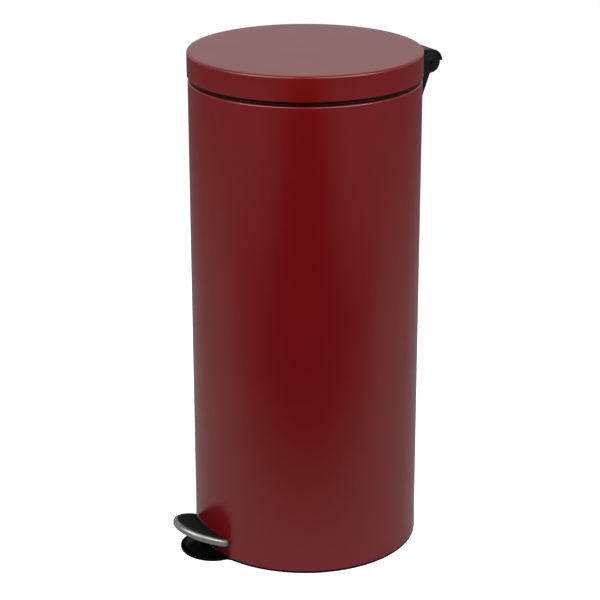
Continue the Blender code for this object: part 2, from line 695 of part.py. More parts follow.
def make_hinge_hood(lid_axis):
    """Black hood over the cheeks, screwed to the lid's skirt."""
    pin = (PIN_Y, PIN_Z)
    rear = HOOD_REAR_LIFT / HOOD_INNER * 180 / pi
    front_low = LID_BOTTOM + GAP
    front = 180 - (front_low - PIN_Z) / HOOD_INNER * 180 / pi
    outline = arc(pin, HOOD_OUTER, rear, 90, 2 * ARC_STEPS)
    outline += [(HOOD_FRONT, PIN_Z + HOOD_OUTER), (HOOD_FRONT, front_low)]
    outline += arc(pin, HOOD_INNER, front, rear, 4 * ARC_STEPS)
    hood = plate("hinge_hood", [outline], 2 * HINGE_HALF_WIDTH, (0, 0, 0), SIDE_ON)
    slot_low = (-ARM_HALF_WIDTH - GAP, arm_front() - GAP, BODY_HEIGHT)
    slot_high = (ARM_HALF_WIDTH + GAP, PIN_Y, arm_top() + GAP)
    cut(hood, block("hood_slot", slot_low, slot_high))
    cut(hood, cylinder("hood_cross_hole", CROSS_PIN_RADIUS + GAP, CUT, cross_pin_place(), ALONG_X, 12))
    for side in (-1, 1):
        cut(hood, lid_screw_hole(side))
    return finish(hood, BLACK_PLASTIC, lid_axis)


def arm_front():
    """Front end of the arm's limb inside the hood."""
    return HOOD_FRONT + HOOD_WALL


def arm_top():
    """Upper edge of the arm's limb inside the hood."""
    return PIN_Z + HOOD_INNER - GAP - BODY_WALL


def cross_pin_place():
    """Centre of the pin that holds the arm in the hood."""
    low = LID_BOTTOM + LID_WALL
    return (0, arm_front() + 3 * CROSS_PIN_RADIUS, (low + arm_top()) / 2)


def make_hinge_arm(lid_axis):
    """Steel arm: a limb in the hood, an eye round the pin and the crank inside the can."""
    down = LID_SWING / 2

    def crank(along, above):
        return (-along * cos(down) - above * sin(down), -along * sin(down) + above * cos(down))

    nose = [crank(CRANK_LENGTH + NOSE_RADIUS * cos(t), NOSE_RADIUS * sin(t))
            for t in [-pi * i / (2 * ARC_STEPS) for i in range(2 * ARC_STEPS + 1)]]
    outline = [crank(0, CRANK_TOP), crank(CRANK_LENGTH + NOSE_RADIUS, CRANK_TOP)] + nose
    outline += [crank(CRANK_LENGTH - NOSE_RADIUS, NOSE_RADIUS), crank(0, NOSE_RADIUS)]
    pin = (0, PIN_Y, PIN_Z)
    arm = plate("hinge_arm", [outline], 2 * CRANK_HALF_WIDTH, pin, SIDE_ON)
    eye = plate("arm_eye", [circle((0, 0), EYE_RADIUS)], 2 * ARM_HALF_WIDTH, pin, SIDE_ON)
    limb_low = (-LIMB_HALF_WIDTH, arm_front(), LID_BOTTOM + LID_WALL)
    limb = block("arm_limb", limb_low, (LIMB_HALF_WIDTH, PIN_Y, arm_top()))
    join(arm, eye, limb)
    cut(arm, cylinder("arm_bore", PIN_RADIUS + RUN, CUT, pin, ALONG_X, 12))
    cut(arm, cylinder("arm_cross_hole", CROSS_PIN_RADIUS + GAP, CUT, cross_pin_place(), ALONG_X, 12))
    return finish(arm, ZINC, lid_axis)


def make_hinge_small_parts(lid_axis):
    """Spacer bushes on the pin and the cross pin through hood and arm."""
    for side, name in ((-1, "hinge_bush_left"), (1, "hinge_bush_right")):
        low = ARM_HALF_WIDTH + GAP
        high = CHEEK_INNER - GAP
        middle = (side * (low + high) / 2, PIN_Y, PIN_Z)
        rings = [circle((0, 0), EYE_RADIUS * 0.65), circle((0, 0), PIN_RADIUS + RUN, 12)]
        finish(plate(name, rings, high - low, middle, SIDE_ON), GREY_PLASTIC, lid_axis)
    length = 2 * (HINGE_HALF_WIDTH - CHEEK_THICK / 2)
    pin = cylinder("arm_cross_pin", CROSS_PIN_RADIUS, length, cross_pin_place(), ALONG_X, 12)
    finish(pin, BARE_STEEL, lid_axis)


# ---------------------------------------------------------------- lid

def make_lid_shell(lid_axis):
    """Painted steel lid: flat top, small edge radius and a plain skirt."""
    edge_centre = (LID_RADIUS - LID_EDGE, LID_TOP - LID_EDGE)
    profile = [(0, LID_TOP)] + arc(edge_centre, LID_EDGE, 90, 0)
    profile += [(LID_RADIUS, LID_BOTTOM), (LID_RADIUS - LID_WALL, LID_BOTTOM)]
    profile += arc(edge_centre, LID_EDGE - LID_WALL, 0, 90) + [(0, LID_TOP - LID_WALL)]
    lid = turned("lid_shell", profile)
    for side in (-1, 1):
        cut(lid, lid_screw_hole(side))
    return finish(lid, RED_PAINT, lid_axis)


def make_lid_liner(lid_axis):
    """Black liner inside the lid, whose lower lip closes down on the collar."""
    top = LID_TOP - LID_WALL - GAP
    inner = LINER_OUTER - LINER_WALL
    lip_top = LID_BOTTOM + GAP
    lip_outer = LINER_OUTER - LINER_LIP
    chamfer = LID_EDGE
    profile = [(0, top), (LINER_OUTER - chamfer, top), (LINER_OUTER, top - chamfer), (LINER_OUTER, lip_top)]
    profile += [(lip_outer, lip_top), (lip_outer, LINER_BOTTOM), (inner, LINER_BOTTOM)]
    profile += [(inner, top - LINER_TOP_WALL - chamfer / 2), (inner - chamfer / 2, top - LINER_TOP_WALL)]
    profile += [(0, top - LINER_TOP_WALL)]
    liner = turned("lid_liner", profile)
    for side in (-1, 1):
        cut(liner, lid_screw_hole(side))
    return finish(liner, BLACK_PLASTIC, lid_axis)


def lid_screw_place(side):
    """Underside of a lid screw's head, against the liner's wall."""
    inner = LINER_OUTER - LINER_WALL
    reach = SCREW_X + SCREW_HEAD
    return (side * SCREW_X, sqrt(inner ** 2 - reach ** 2) - GAP, LID_BOTTOM + LID_SCREW_RISE)


def lid_screw_hole(side):
    """Cutter for a lid screw's hole through liner, skirt and hood."""
    place = lid_screw_place(side)
    length = LID_SCREW_LENGTH + RUN
    middle = (place[0], place[1] + length / 2, place[2])
    return cylinder("lid_screw_hole", SCREW_RADIUS + GAP, length, middle, ALONG_Y, 12)


def make_lid_screws(lid_axis):
    """Screws from inside the lid into the hood."""
    for side, name in ((-1, "lid_screw_left"), (1, "lid_screw_right")):
        screw = fastener(name, SCREW_RADIUS, LID_SCREW_LENGTH, SCREW_HEAD, SCREW_HEAD_HEIGHT,
                         lid_screw_place(side), ALONG_Y)
        finish(screw, ZINC, lid_axis)


# ---------------------------------------------------------------- pedal and lever

def pedal_point(out, above):
    """Place (Y, Z) of a point on the tilted pedal: out from its root, above its mid plane."""
    reach = BODY_RADIUS - PEDAL_ROOT + out * cos(PEDAL_TILT) - above * sin(PEDAL_TILT)
    return (-reach, PEDAL_RISE + out * sin(PEDAL_TILT) + above * cos(PEDAL_TILT))


def pedal_slab(name, half_width, length, low, high, holes=()):
    """A slab of the pedal's half-round outline between two heights, cut to the can's curve."""
    outline = [(half_width, PEDAL_ROOT)] + half_ellipse(half_width, length) + [(-half_width, PEDAL_ROOT)]
    place = (0, *pedal_point(0, (low + high) / 2))
    return plate(name, [outline, *holes], high - low, place, (-PEDAL_TILT, 0, 0))


def pedal_can_cutter(name):
    """Cutter that keeps the pedal clear of the can."""
    return cylinder(name, BODY_RADIUS + WALL_CLEAR, CUT * 3, (0, 0, 0), steps=RING_STEPS)


def rivet_holes():
    """Outlines of the rivet holes in the pedal's plate."""
    return [circle((side * RIVET_X, -RIVET_OUT), RIVET_RADIUS + GAP, 12) for side in (-1, 1)]


def make_pedal_trim(pedal_axis):
    """Bright metal band round the pedal."""
    half = TRIM_HEIGHT / 2
    trim = pedal_slab("pedal_trim", PEDAL_HALF_WIDTH, PEDAL_LENGTH, -half, half)
    soften(trim, TRIM_HEIGHT * 0.3, 2)
    inside = pedal_slab("trim_inside", PEDAL_HALF_WIDTH - TRIM_WIDTH, PEDAL_LENGTH - TRIM_WIDTH,
                        -TRIM_HEIGHT, TRIM_HEIGHT)
    cut(trim, inside, pedal_can_cutter("trim_can"))
    return finish(trim, BRIGHT_STEEL, pedal_axis)


def make_pedal_tread(pedal_axis):
    """Black tread inside the band."""
    inset = TRIM_WIDTH + GAP
    tread = pedal_slab("pedal_tread", PEDAL_HALF_WIDTH - inset, PEDAL_LENGTH - inset,
                       TREAD_BOTTOM, TREAD_TOP)
    cut(tread, pedal_can_cutter("tread_can"))
    return finish(tread, RUBBER, pedal_axis)


def make_pedal_plate(pedal_axis):
    """Steel plate under the tread, riveted to the lever."""
    inset = TRIM_WIDTH + GAP
    carrier = pedal_slab("pedal_plate", PEDAL_HALF_WIDTH - inset, PEDAL_LENGTH - inset,
                         PLATE_BOTTOM, PLATE_TOP, rivet_holes())
    cut(carrier, pedal_can_cutter("plate_can"))
    return finish(carrier, ZINC, pedal_axis)


def make_pedal_rivets(pedal_axis):
    """Rivets that hold the plate to the lever's front bar."""
    low = BAR_BOTTOM - GAP
    for side, name in ((-1, "pedal_rivet_left"), (1, "pedal_rivet_right")):
        place = (side * RIVET_X, *pedal_point(RIVET_OUT, low))
        rivet = fastener(name, RIVET_RADIUS, PLATE_TOP - low, RIVET_HEAD, RIVET_RADIUS * 0.75,
                         place, (-PEDAL_TILT, 0, 0))
        finish(rivet, ZINC, pedal_axis)


def make_pedal_lever(pedal_axis):
    """Steel lever: hub on the axle, bent front bar under the pedal, long rear bar to the rod."""
    pivot = (0, PIVOT_Y, PIVOT_Z)
    hub = cylinder("pedal_lever", HUB_BORE + HUB_WALL, 2 * HUB_HALF_LENGTH, pivot, ALONG_X)
    front_path = [(PIVOT_Y, PIVOT_Z), pedal_point(-MM, BAR_MID), pedal_point(FRONT_BAR_END, BAR_MID)]
    front_shape = strip(front_path, FRONT_BAR_THICK)
    front = plate("front_bar", [front_shape], 2 * FRONT_BAR_HALF_WIDTH, (0, 0, 0), SIDE_ON)
    end = (ROD_Y + REAR_BAR_OVERRUN, PIVOT_Z - (REAR_ARM + REAR_BAR_OVERRUN) * tan(REAR_ANGLE))
    rear_path = [(PIVOT_Y, PIVOT_Z), end]
    rear_shape = strip(rear_path, REAR_BAR_THICK)
    rear = plate("rear_bar", [rear_shape], 2 * REAR_BAR_HALF_WIDTH, (0, 0, 0), SIDE_ON)
    join(hub, front, rear)
    cut(hub, cylinder("hub_bore", HUB_BORE, CUT * 2, pivot, ALONG_X))
    for side in (-1, 1):
        place = (side * RIVET_X, *pedal_point(RIVET_OUT, BAR_MID))
        turn = (-PEDAL_TILT, 0, 0)
        hole = cylinder("bar_rivet_hole", RIVET_RADIUS + GAP, 3 * FRONT_BAR_THICK, place, turn, 12)
        cut(hub, hole)
    return finish(hub, ZINC, pedal_axis)


def make_axle():
    """Axle through the lugs and the clips at its ends."""
    pivot = (0, PIVOT_Y, PIVOT_Z)
    outside = LUG_INNER + LUG_THICK
    length = 2 * (outside + GAP + 2 * CLIP_THICK)
    finish(cylinder("pedal_axle", AXLE_RADIUS, length, pivot, ALONG_X), BARE_STEEL)
    for side, name in ((-1, "axle_clip_left"), (1, "axle_clip_right")):
        rings = [circle((0, 0), CLIP_RADIUS), circle((0, 0), AXLE_RADIUS + GAP)]
        middle = side * (outside + GAP + CLIP_THICK / 2)
        finish(plate(name, rings, CLIP_THICK, (middle, PIVOT_Y, PIVOT_Z), SIDE_ON), BARE_STEEL)


def make_lever_bush(pedal_axis):
    """Plastic bush between the axle and the lever's hub."""
    rings = [circle((0, 0), HUB_BORE - GAP), circle((0, 0), AXLE_RADIUS + RUN)]
    bush = plate("lever_bush", rings, 2 * HUB_HALF_LENGTH - 2 * GAP, (0, PIVOT_Y, PIVOT_Z), SIDE_ON)
    return finish(bush, GREY_PLASTIC, pedal_axis)


# ---------------------------------------------------------------- push rod

def make_push_rod(rod_axis):
    """Rod behind the bucket, with a round foot on the lever and a flat head under the crank."""
    socket = ROD_RADIUS + GAP
    outer = socket + ROD_END_WALL
    foot_socket = ROD_FOOT_Z + FOOT_HEIGHT - SOCKET_DEPTH
    low = foot_socket + GAP
    high = ROD_HEAD_BOTTOM + SOCKET_DEPTH - GAP
    rod = cylinder("push_rod", ROD_RADIUS, high - low, (0, ROD_Y, (low + high) / 2), steps=16)
    finish(rod, BARE_STEEL, rod_axis)

    profile = [(0, foot_socket), (socket, foot_socket), (socket, ROD_FOOT_Z + FOOT_HEIGHT)]
    profile += [(outer, ROD_FOOT_Z + FOOT_HEIGHT)] + arc((0, ROD_FOOT_Z + outer), outer, 0, -90)
    foot = turned("rod_foot", profile, steps=16, place=(0, ROD_Y, 0))
    finish(foot, GREY_PLASTIC, rod_axis)

    low_corner = (-HEAD_HALF_WIDTH, ROD_Y - HEAD_INWARD, ROD_HEAD_BOTTOM)
    high_corner = (HEAD_HALF_WIDTH, BODY_INSIDE - 2 * RUN, ROD_HEAD_TOP)
    head = block("rod_head", low_corner, high_corner)
    cut(head, cylinder("head_socket", socket, 2 * SOCKET_DEPTH, (0, ROD_Y, ROD_HEAD_BOTTOM), steps=16))
    finish(head, GREY_PLASTIC, rod_axis)


def make_rod_guides():
    """Two plastic guides on the can's inner wall."""
    places = (("rod_guide_lower", LOW_GUIDE_Z), ("rod_guide_upper", BODY_HEIGHT - HIGH_GUIDE_DROP))
    for name, height in places:
        inward = ROD_Y - GUIDE_INWARD
        outward = BODY_RADIUS
        outline = [(-GUIDE_HALF_WIDTH, inward), (GUIDE_HALF_WIDTH, inward)]
        outline += [(GUIDE_HALF_WIDTH, outward), (-GUIDE_HALF_WIDTH, outward)]
        bore = circle((0, ROD_Y), ROD_RADIUS + RUN, 16)
        guide = plate(name, [outline, bore], GUIDE_HEIGHT, (0, 0, height + GUIDE_HEIGHT / 2))
        can = cylinder(name + "_wall", BASE_OUTER, 4 * GUIDE_HEIGHT, (0, 0, height), steps=RING_STEPS)
        boolean(guide, can, "INTERSECT")
        finish(guide, GREY_PLASTIC)


# ---------------------------------------------------------------- assembly

clear_scene()
PARTS = collection("pedal_bin")
CUTTERS = collection("cutters")

RED_PAINT = material("red_paint", (0.118, 0.009, 0.011), 0.35)
BLACK_PLASTIC = material("black_plastic", (0.012, 0.012, 0.013), 0.35)
GREY_PLASTIC = material("grey_plastic", (0.03, 0.03, 0.032), 0.5)
RUBBER = material("rubber", (0.015, 0.015, 0.015), 0.7)
BRIGHT_STEEL = material("bright_steel", (0.62, 0.61, 0.60), 0.28, 1.0)
BARE_STEEL = material("bare_steel", (0.45, 0.45, 0.46), 0.35, 1.0)
ZINC = material("zinc_plated_steel", (0.5, 0.51, 0.52), 0.45, 1.0)

LID_AXIS = axis_empty("lid_hinge_axis", (0, PIN_Y, PIN_Z))
PEDAL_AXIS = axis_empty("pedal_pivot_axis", (0, PIVOT_Y, PIVOT_Z))
ROD_AXIS = axis_empty("rod_lift_axis", (0, ROD_Y, ROD_FOOT_Z))

make_body_shell()
make_base_moulding()
make_feet()
make_rim_collar()
make_inner_bucket()
make_bucket_rim()
make_hinge_bracket()
make_hinge_backplate()
make_bracket_screws()
make_hinge_pin()
make_axle()
make_rod_guides()

make_lid_shell(LID_AXIS)
make_lid_liner(LID_AXIS)
make_lid_screws(LID_AXIS)
make_hinge_hood(LID_AXIS)
make_hinge_arm(LID_AXIS)
make_hinge_small_parts(LID_AXIS)

make_pedal_lever(PEDAL_AXIS)
make_lever_bush(PEDAL_AXIS)
make_pedal_plate(PEDAL_AXIS)
make_pedal_trim(PEDAL_AXIS)
make_pedal_tread(PEDAL_AXIS)
make_pedal_rivets(PEDAL_AXIS)

make_push_rod(ROD_AXIS)
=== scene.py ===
"""Looks of the round pedal can: painted shell and lid, black mouldings, bright pedal, on a pale floor."""

import json
from math import atan2, cos, degrees, pi, radians, sin, sqrt

import bmesh
import bpy
from mathutils import Euler, Matrix, Vector


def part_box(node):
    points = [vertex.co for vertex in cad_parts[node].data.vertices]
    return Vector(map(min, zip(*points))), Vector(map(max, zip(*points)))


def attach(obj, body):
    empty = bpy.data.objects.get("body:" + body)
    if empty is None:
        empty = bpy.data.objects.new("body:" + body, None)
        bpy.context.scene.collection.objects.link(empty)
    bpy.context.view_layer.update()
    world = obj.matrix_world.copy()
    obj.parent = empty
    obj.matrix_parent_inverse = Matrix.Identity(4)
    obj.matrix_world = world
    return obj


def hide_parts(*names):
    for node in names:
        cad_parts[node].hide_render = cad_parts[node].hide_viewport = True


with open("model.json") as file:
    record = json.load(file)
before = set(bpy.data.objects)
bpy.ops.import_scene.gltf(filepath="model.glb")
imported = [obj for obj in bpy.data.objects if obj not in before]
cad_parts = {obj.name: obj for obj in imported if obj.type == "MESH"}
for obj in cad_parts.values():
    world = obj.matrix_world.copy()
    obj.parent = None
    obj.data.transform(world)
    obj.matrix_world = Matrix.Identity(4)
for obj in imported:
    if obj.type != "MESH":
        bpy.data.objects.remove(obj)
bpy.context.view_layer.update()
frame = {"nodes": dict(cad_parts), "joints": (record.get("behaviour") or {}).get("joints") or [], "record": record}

MM = 0.001
TOUCHING = 0.001 * MM         # points closer than this are one
FINE = 256                    # steps round the can
ROUND = 48                    # steps round small pieces
VIEW_AZIMUTH = radians(60)
TOWARDS_VIEWER = Vector((sin(VIEW_AZIMUTH), -cos(VIEW_AZIMUTH), 0))
ASIDE = Vector((-cos(VIEW_AZIMUTH), -sin(VIEW_AZIMUTH), 0))
UP = Vector((0, 0, 1))

CAN = "can"
LID = "lid"
PEDAL = "pedal"
ROD = "rod"

shell_low, shell_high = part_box("body_shell")
lid_low, lid_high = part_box("lid_shell")
base_low, base_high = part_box("base_moulding")
collar_low, collar_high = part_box("rim_collar")
bucket_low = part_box("inner_bucket")[0]
bucket_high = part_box("bucket_rim")[1]
liner_low, liner_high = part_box("lid_liner")
hood_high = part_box("hinge_hood")[1]
bracket_low, bracket_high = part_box("hinge_bracket")
trim_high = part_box("pedal_trim")[1]

joints = {joint["name"]: joint for joint in frame["joints"]}
PIN = Vector(joints["lid_hinge"]["pos_m"])

CAN_RADIUS = shell_high.x
CAN_TOP = shell_high.z
CAN_BOTTOM = shell_low.z
LID_RADIUS = lid_high.x
FLOOR_TOP = 6.4 * MM          # upper face of the base's floor
SLOT_HALF_WIDTH = 23 * MM     # slot in front for the pedal's lever
SLOT_TOP = 25.2 * MM
NOTCH_HALF_WIDTH = 7 * MM     # notch behind for the lid's crank
NOTCH_DEPTH = 16 * MM
CUT_REACH = 15 * MM           # how far the slot and the notch reach inwards of the can
CUT_PAST = 5 * MM             # and outwards
PEDAL_TILT = radians(19.5)
PEDAL_HALF_WIDTH = trim_high.x
PEDAL_LENGTH = 53.8 * MM
PEDAL_ROOT = CAN_RADIUS - 5 * MM
PEDAL_RISE = 24.0 * MM
TRIM_WIDTH = 5.0 * MM
TRIM_HEIGHT = 10 * MM
TREAD_TOP = 5.2 * MM
TREAD_BOTTOM = 0.6 * MM


# ---------------------------------------------------------------- node helpers

def shader_of(material):
    """A material's Principled shader."""
    return material.node_tree.nodes["Principled BSDF"]


def new_material(name, roughness, metallic=0.0):
    """A Principled material with its uniform values on the shader's own sockets."""
    material = bpy.data.materials.new(name)
    material.use_nodes = True
    shader = shader_of(material)
    shader.inputs["Roughness"].default_value = roughness
    shader.inputs["Metallic"].default_value = metallic
    return material


def node(owner, kind, **settings):
    """A new node of a material or of the world, with its settings."""
    made = owner.node_tree.nodes.new(kind)
    for name, value in settings.items():
        setattr(made, name, value)
    return made


def link(owner, source, target):
    """Join two sockets."""
    owner.node_tree.links.new(source, target)


def object_point(material, scale=(1, 1, 1), turn=(0, 0, 0)):
    """Object coordinates through a Mapping node."""
    coordinates = node(material, "ShaderNodeTexCoord")
    mapping = node(material, "ShaderNodeMapping")
    mapping.inputs["Scale"].default_value = scale
    mapping.inputs["Rotation"].default_value = turn
    link(material, coordinates.outputs["Object"], mapping.inputs["Vector"])
    return mapping.outputs["Vector"]


def noise(material, point, scale, detail=4.0, roughness=0.5):
    """A noise texture's value."""
    texture = node(material, "ShaderNodeTexNoise")
    texture.inputs["Scale"].default_value = scale
    texture.inputs["Detail"].default_value = detail
    texture.inputs["Roughness"].default_value = roughness
    link(material, point, texture.inputs["Vector"])
    return texture.outputs["Fac"]


def cells(material, point, scale):
    """The distance to the nearest point of a cell pattern."""
    texture = node(material, "ShaderNodeTexVoronoi")
    texture.inputs["Scale"].default_value = scale
    link(material, point, texture.inputs["Vector"])
    return texture.outputs["Distance"]


def between(owner, value, low, high, start=0.3, end=0.7, easing="LINEAR"):
    """A value stretched from one range, start to end, to another, low to high."""
    spread = node(owner, "ShaderNodeMapRange", interpolation_type=easing)
    spread.inputs["From Min"].default_value = start
    spread.inputs["From Max"].default_value = end
    spread.inputs["To Min"].default_value = low
    spread.inputs["To Max"].default_value = high
    link(owner, value, spread.inputs["Value"])
    return spread.outputs["Result"]


def distance_along(owner, point, direction):
    """How far a point lies along a direction."""
    product = node(owner, "ShaderNodeVectorMath", operation="DOT_PRODUCT")
    product.inputs[1].default_value = direction
    link(owner, point, product.inputs[0])
    return product.outputs["Value"]


def worked_out(owner, operation, *values):
    """The result of a Math node on one or two values."""
    made = node(owner, "ShaderNodeMath", operation=operation)
    for value, socket in zip(values, made.inputs):
        link(owner, value, socket)
    return made.outputs["Value"]


def seen_as(owner, value, direct):
    """A value for all the light that bounces, and a plain one for what is seen directly."""
    choice = node(owner, "ShaderNodeMix", data_type="FLOAT")
    link(owner, node(owner, "ShaderNodeLightPath").outputs["Is Camera Ray"], choice.inputs["Factor"])
    link(owner, value, choice.inputs["A"])
    choice.inputs["B"].default_value = direct
    return choice.outputs["Result"]


def colour_ramp(material, value, stops):
    """Colours along a value, as (position, colour) stops."""
    ramp = node(material, "ShaderNodeValToRGB")
    while len(ramp.color_ramp.elements) < len(stops):
        ramp.color_ramp.elements.new(0.5)
    for element, (position, colour) in zip(ramp.color_ramp.elements, stops):
        element.position = position
        element.color = (*colour, 1)
    link(material, value, ramp.inputs["Fac"])
    return ramp.outputs["Color"]


def bump(material, value, distance, strength=1.0, under=None):
    """A bump from a value, on top of another bump if one is given."""
    made = node(material, "ShaderNodeBump")
    made.inputs["Strength"].default_value = strength
    made.inputs["Distance"].default_value = distance
    link(material, value, made.inputs["Height"])
    if under:
        link(material, under, made.inputs["Normal"])
    return made.outputs["Normal"]


# ---------------------------------------------------------------- finishes

def red_powder_coat():
    """Dark red satin powder coat: clouded colour, soft orange peel and a few rubbed patches."""
    material = new_material("red_powder_coat", 0.25)
    shader = shader_of(material)
    point = object_point(material)
    cloud = noise(material, point, 9, 5, 0.6)
    tint = colour_ramp(material, cloud, [(0.3, (0.137, 0.0034, 0.0042)), (0.7, (0.149, 0.0042, 0.0052))])
    link(material, tint, shader.inputs["Base Color"])
    rubbed = noise(material, point, 14, 4, 0.55)
    link(material, between(material, rubbed, 0.235, 0.27), shader.inputs["Roughness"])
    peel = noise(material, point, 380, 2, 0.5)
    grain = noise(material, point, 1500, 2, 0.6)
    soft = bump(material, peel, 0.00003, 0.3)
    link(material, bump(material, grain, 0.00001, 0.3, soft), shader.inputs["Normal"])
    return material


def black_moulding(name, gloss, smooth, rough, dark, light):
    """Black moulding with faint marks, between two roughnesses and two colours; also gives the pin its near-black
    painted shade.
    """
    material = new_material(name, smooth)
    shader = shader_of(material)
    shader.inputs["Specular IOR Level"].default_value = gloss
    point = object_point(material)
    cloud = noise(material, point, 60, 5, 0.6)
    tint = colour_ramp(material, cloud, [(0.3, dark), (0.75, light)])
    link(material, tint, shader.inputs["Base Color"])
    marks = noise(material, point, 90, 4)
    link(material, between(material, marks, smooth, rough), shader.inputs["Roughness"])
    grain = noise(material, point, 1400, 3, 0.6)
    link(material, bump(material, grain, 0.00001, 0.3), shader.inputs["Normal"])
    return material


def dark_grained_moulding():
    """Dark grey moulded plastic with a fine matt grain."""
    material = new_material("dark_grained_moulding", 0.5)
    shader = shader_of(material)
    point = object_point(material)
    cloud = noise(material, point, 30, 5, 0.6)
    tint = colour_ramp(material, cloud, [(0.3, (0.020, 0.020, 0.021)), (0.75, (0.032, 0.032, 0.034))])
    link(material, tint, shader.inputs["Base Color"])
    mottle = noise(material, point, 120, 4)
    link(material, between(material, mottle, 0.42, 0.58), shader.inputs["Roughness"])
    grain = cells(material, point, 1100)
    link(material, bump(material, grain, 0.00006, 0.5), shader.inputs["Normal"])
    return material


def black_rubber():
    """Matt black rubber with dusty high spots."""
    material = new_material("black_rubber", 0.6)
    shader = shader_of(material)
    shader.inputs["Specular IOR Level"].default_value = 0.2
    point = object_point(material)
    dust = noise(material, point, 90, 6, 0.65)
    tint = colour_ramp(material, dust, [(0.35, (0.004, 0.0045, 0.0043)), (0.8, (0.012, 0.0135, 0.013))])
    link(material, tint, shader.inputs["Base Color"])
    link(material, between(material, dust, 0.45, 0.7), shader.inputs["Roughness"])
    grain = noise(material, point, 1300, 3, 0.6)
    link(material, bump(material, grain, 0.00008, 0.6), shader.inputs["Normal"])
    return material


def brushed_band():
    """Bright steel of the pedal's band, brushed along its length, with fine scratches."""
    material = new_material("brushed_band", 0.25, metallic=1.0)
    shader = shader_of(material)
    point = object_point(material, scale=(0.06, 0.06, 1), turn=(PEDAL_TILT, 0, 0))
    lines = noise(material, point, 2600, 4, 0.65)
    worn = noise(material, object_point(material), 70, 5, 0.6)
    tint = colour_ramp(material, worn, [(0.3, (0.25, 0.25, 0.245)), (0.75, (0.36, 0.36, 0.35))])
    link(material, tint, shader.inputs["Base Color"])
    link(material, between(material, lines, 0.36, 0.5), shader.inputs["Roughness"])
    link(material, bump(material, lines, 0.00003, 0.6), shader.inputs["Normal"])
    return material


def zinc_plate():
    """Zinc plated steel, faintly mottled."""
    material = new_material("zinc_plate", 0.4, metallic=1.0)
    shader = shader_of(material)
    point = object_point(material)
    spangle = cells(material, point, 260)
    cloud = noise(material, point, 70, 5, 0.6)
    tint = colour_ramp(material, cloud, [(0.3, (0.42, 0.43, 0.44)), (0.75, (0.56, 0.57, 0.58))])
    link(material, tint, shader.inputs["Base Color"])
    link(material, between(material, spangle, 0.32, 0.48, 0, 0.8), shader.inputs["Roughness"])
    link(material, bump(material, spangle, 0.00004, 0.4), shader.inputs["Normal"])
    return material


def drawn_steel():
    """Plain drawn steel of pins and rods, with fine lines and a trace of oil."""
    material = new_material("drawn_steel", 0.3, metallic=1.0)
    shader = shader_of(material)
    point = object_point(material, scale=(1, 1, 0.05))
    lines = noise(material, point, 2400, 4, 0.6)
    oil = noise(material, object_point(material), 45, 5, 0.6)
    tint = colour_ramp(material, oil, [(0.3, (0.33, 0.33, 0.33)), (0.75, (0.47, 0.47, 0.48))])
    link(material, tint, shader.inputs["Base Color"])
    link(material, between(material, lines, 0.22, 0.42), shader.inputs["Roughness"])
    link(material, bump(material, lines, 0.00002, 0.5), shader.inputs["Normal"])
    return material


# ---------------------------------------------------------------- mesh helpers

def arc(centre, radius, start, end, steps=8):
    """Points along an arc, both ends included; angles in degrees."""
    turns = [radians(start + (end - start) * i / steps) for i in range(steps + 1)]
    return [(centre[0] + radius * cos(t), centre[1] + radius * sin(t)) for t in turns]


def half_ellipse(half_width, length, steps=72):
    """Points from (+half_width, 0) round (0, -length) to (-half_width, 0)."""
    return [(half_width * cos(pi * i / steps), -length * sin(pi * i / steps)) for i in range(steps + 1)]


def new_verts(grown):
    """The points that an extrusion has made."""
    return [item for item in grown["geom"] if isinstance(item, bmesh.types.BMVert)]


def tidy(bm):
    """Merge doubled points and turn every face outwards."""
    bmesh.ops.remove_doubles(bm, verts=bm.verts, dist=TOUCHING)
    bmesh.ops.dissolve_degenerate(bm, edges=bm.edges, dist=TOUCHING / 2)
    bmesh.ops.recalc_face_normals(bm, faces=bm.faces)


def spun(profile, closed=False, steps=FINE, gap=0.0):
    """A profile of (radius, height) points spun round the can's axis, with a gap centred behind."""
    bm = bmesh.new()
    verts = [bm.verts.new((r, 0, z)) for r, z in profile]
    edges = [bm.edges.new(pair) for pair in zip(verts, verts[1:])]
    if closed:
        edges.append(bm.edges.new((verts[-1], verts[0])))
    start = Matrix.Rotation(pi / 2 + gap / 2, 3, "Z")
    bmesh.ops.rotate(bm, verts=verts, cent=(0, 0, 0), matrix=start)
    if gap and closed:
        bm.faces.new(verts)
    bmesh.ops.spin(bm, geom=verts + edges, cent=(0, 0, 0), axis=(0, 0, 1), dvec=(0, 0, 0),
                   angle=2 * pi - gap, steps=steps, use_merge=not gap, use_duplicate=False)
    if gap and closed:
        rim = [edge for edge in bm.edges if edge.is_boundary]
        bmesh.ops.contextual_create(bm, geom=rim)
    tidy(bm)
    return bm


def piece(name, bm, material, body, slot, *nodes, sharp=32):
    """Finish a mesh as a piece of the object that rides on a body and stands for CAD nodes."""
    mesh = bpy.data.meshes.new(name)
    bm.to_mesh(mesh)
    bm.free()
    mesh.shade_smooth()
    mesh.set_sharp_from_angle(angle=radians(sharp))
    mesh.materials.append(material)
    obj = bpy.data.objects.new(name, mesh)
    bpy.context.scene.collection.objects.link(obj)
    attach(obj, body)
    if nodes:
        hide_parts(*nodes)
    return obj


def slab(outline, low, high):
    """A flat outline in X and Y, solid from one height to another."""
    bm = bmesh.new()
    face = bm.faces.new([bm.verts.new((x, y, low)) for x, y in outline])
    grown = bmesh.ops.extrude_face_region(bm, geom=[face])
    bmesh.ops.translate(bm, verts=new_verts(grown), vec=(0, 0, high - low))
    bmesh.ops.recalc_face_normals(bm, faces=bm.faces)
    return bm


def round_edges(bm, width, segments=3, angle=30):
    """Round every edge that is sharper than an angle."""
    limit = radians(angle)
    edges = [e for e in bm.edges if e.is_manifold and e.calc_face_angle(0) > limit]
    bmesh.ops.bevel(bm, geom=edges, offset=width, offset_type="OFFSET", affect="EDGES",
                    segments=segments, profile=0.5, material=-1, clamp_overlap=True)


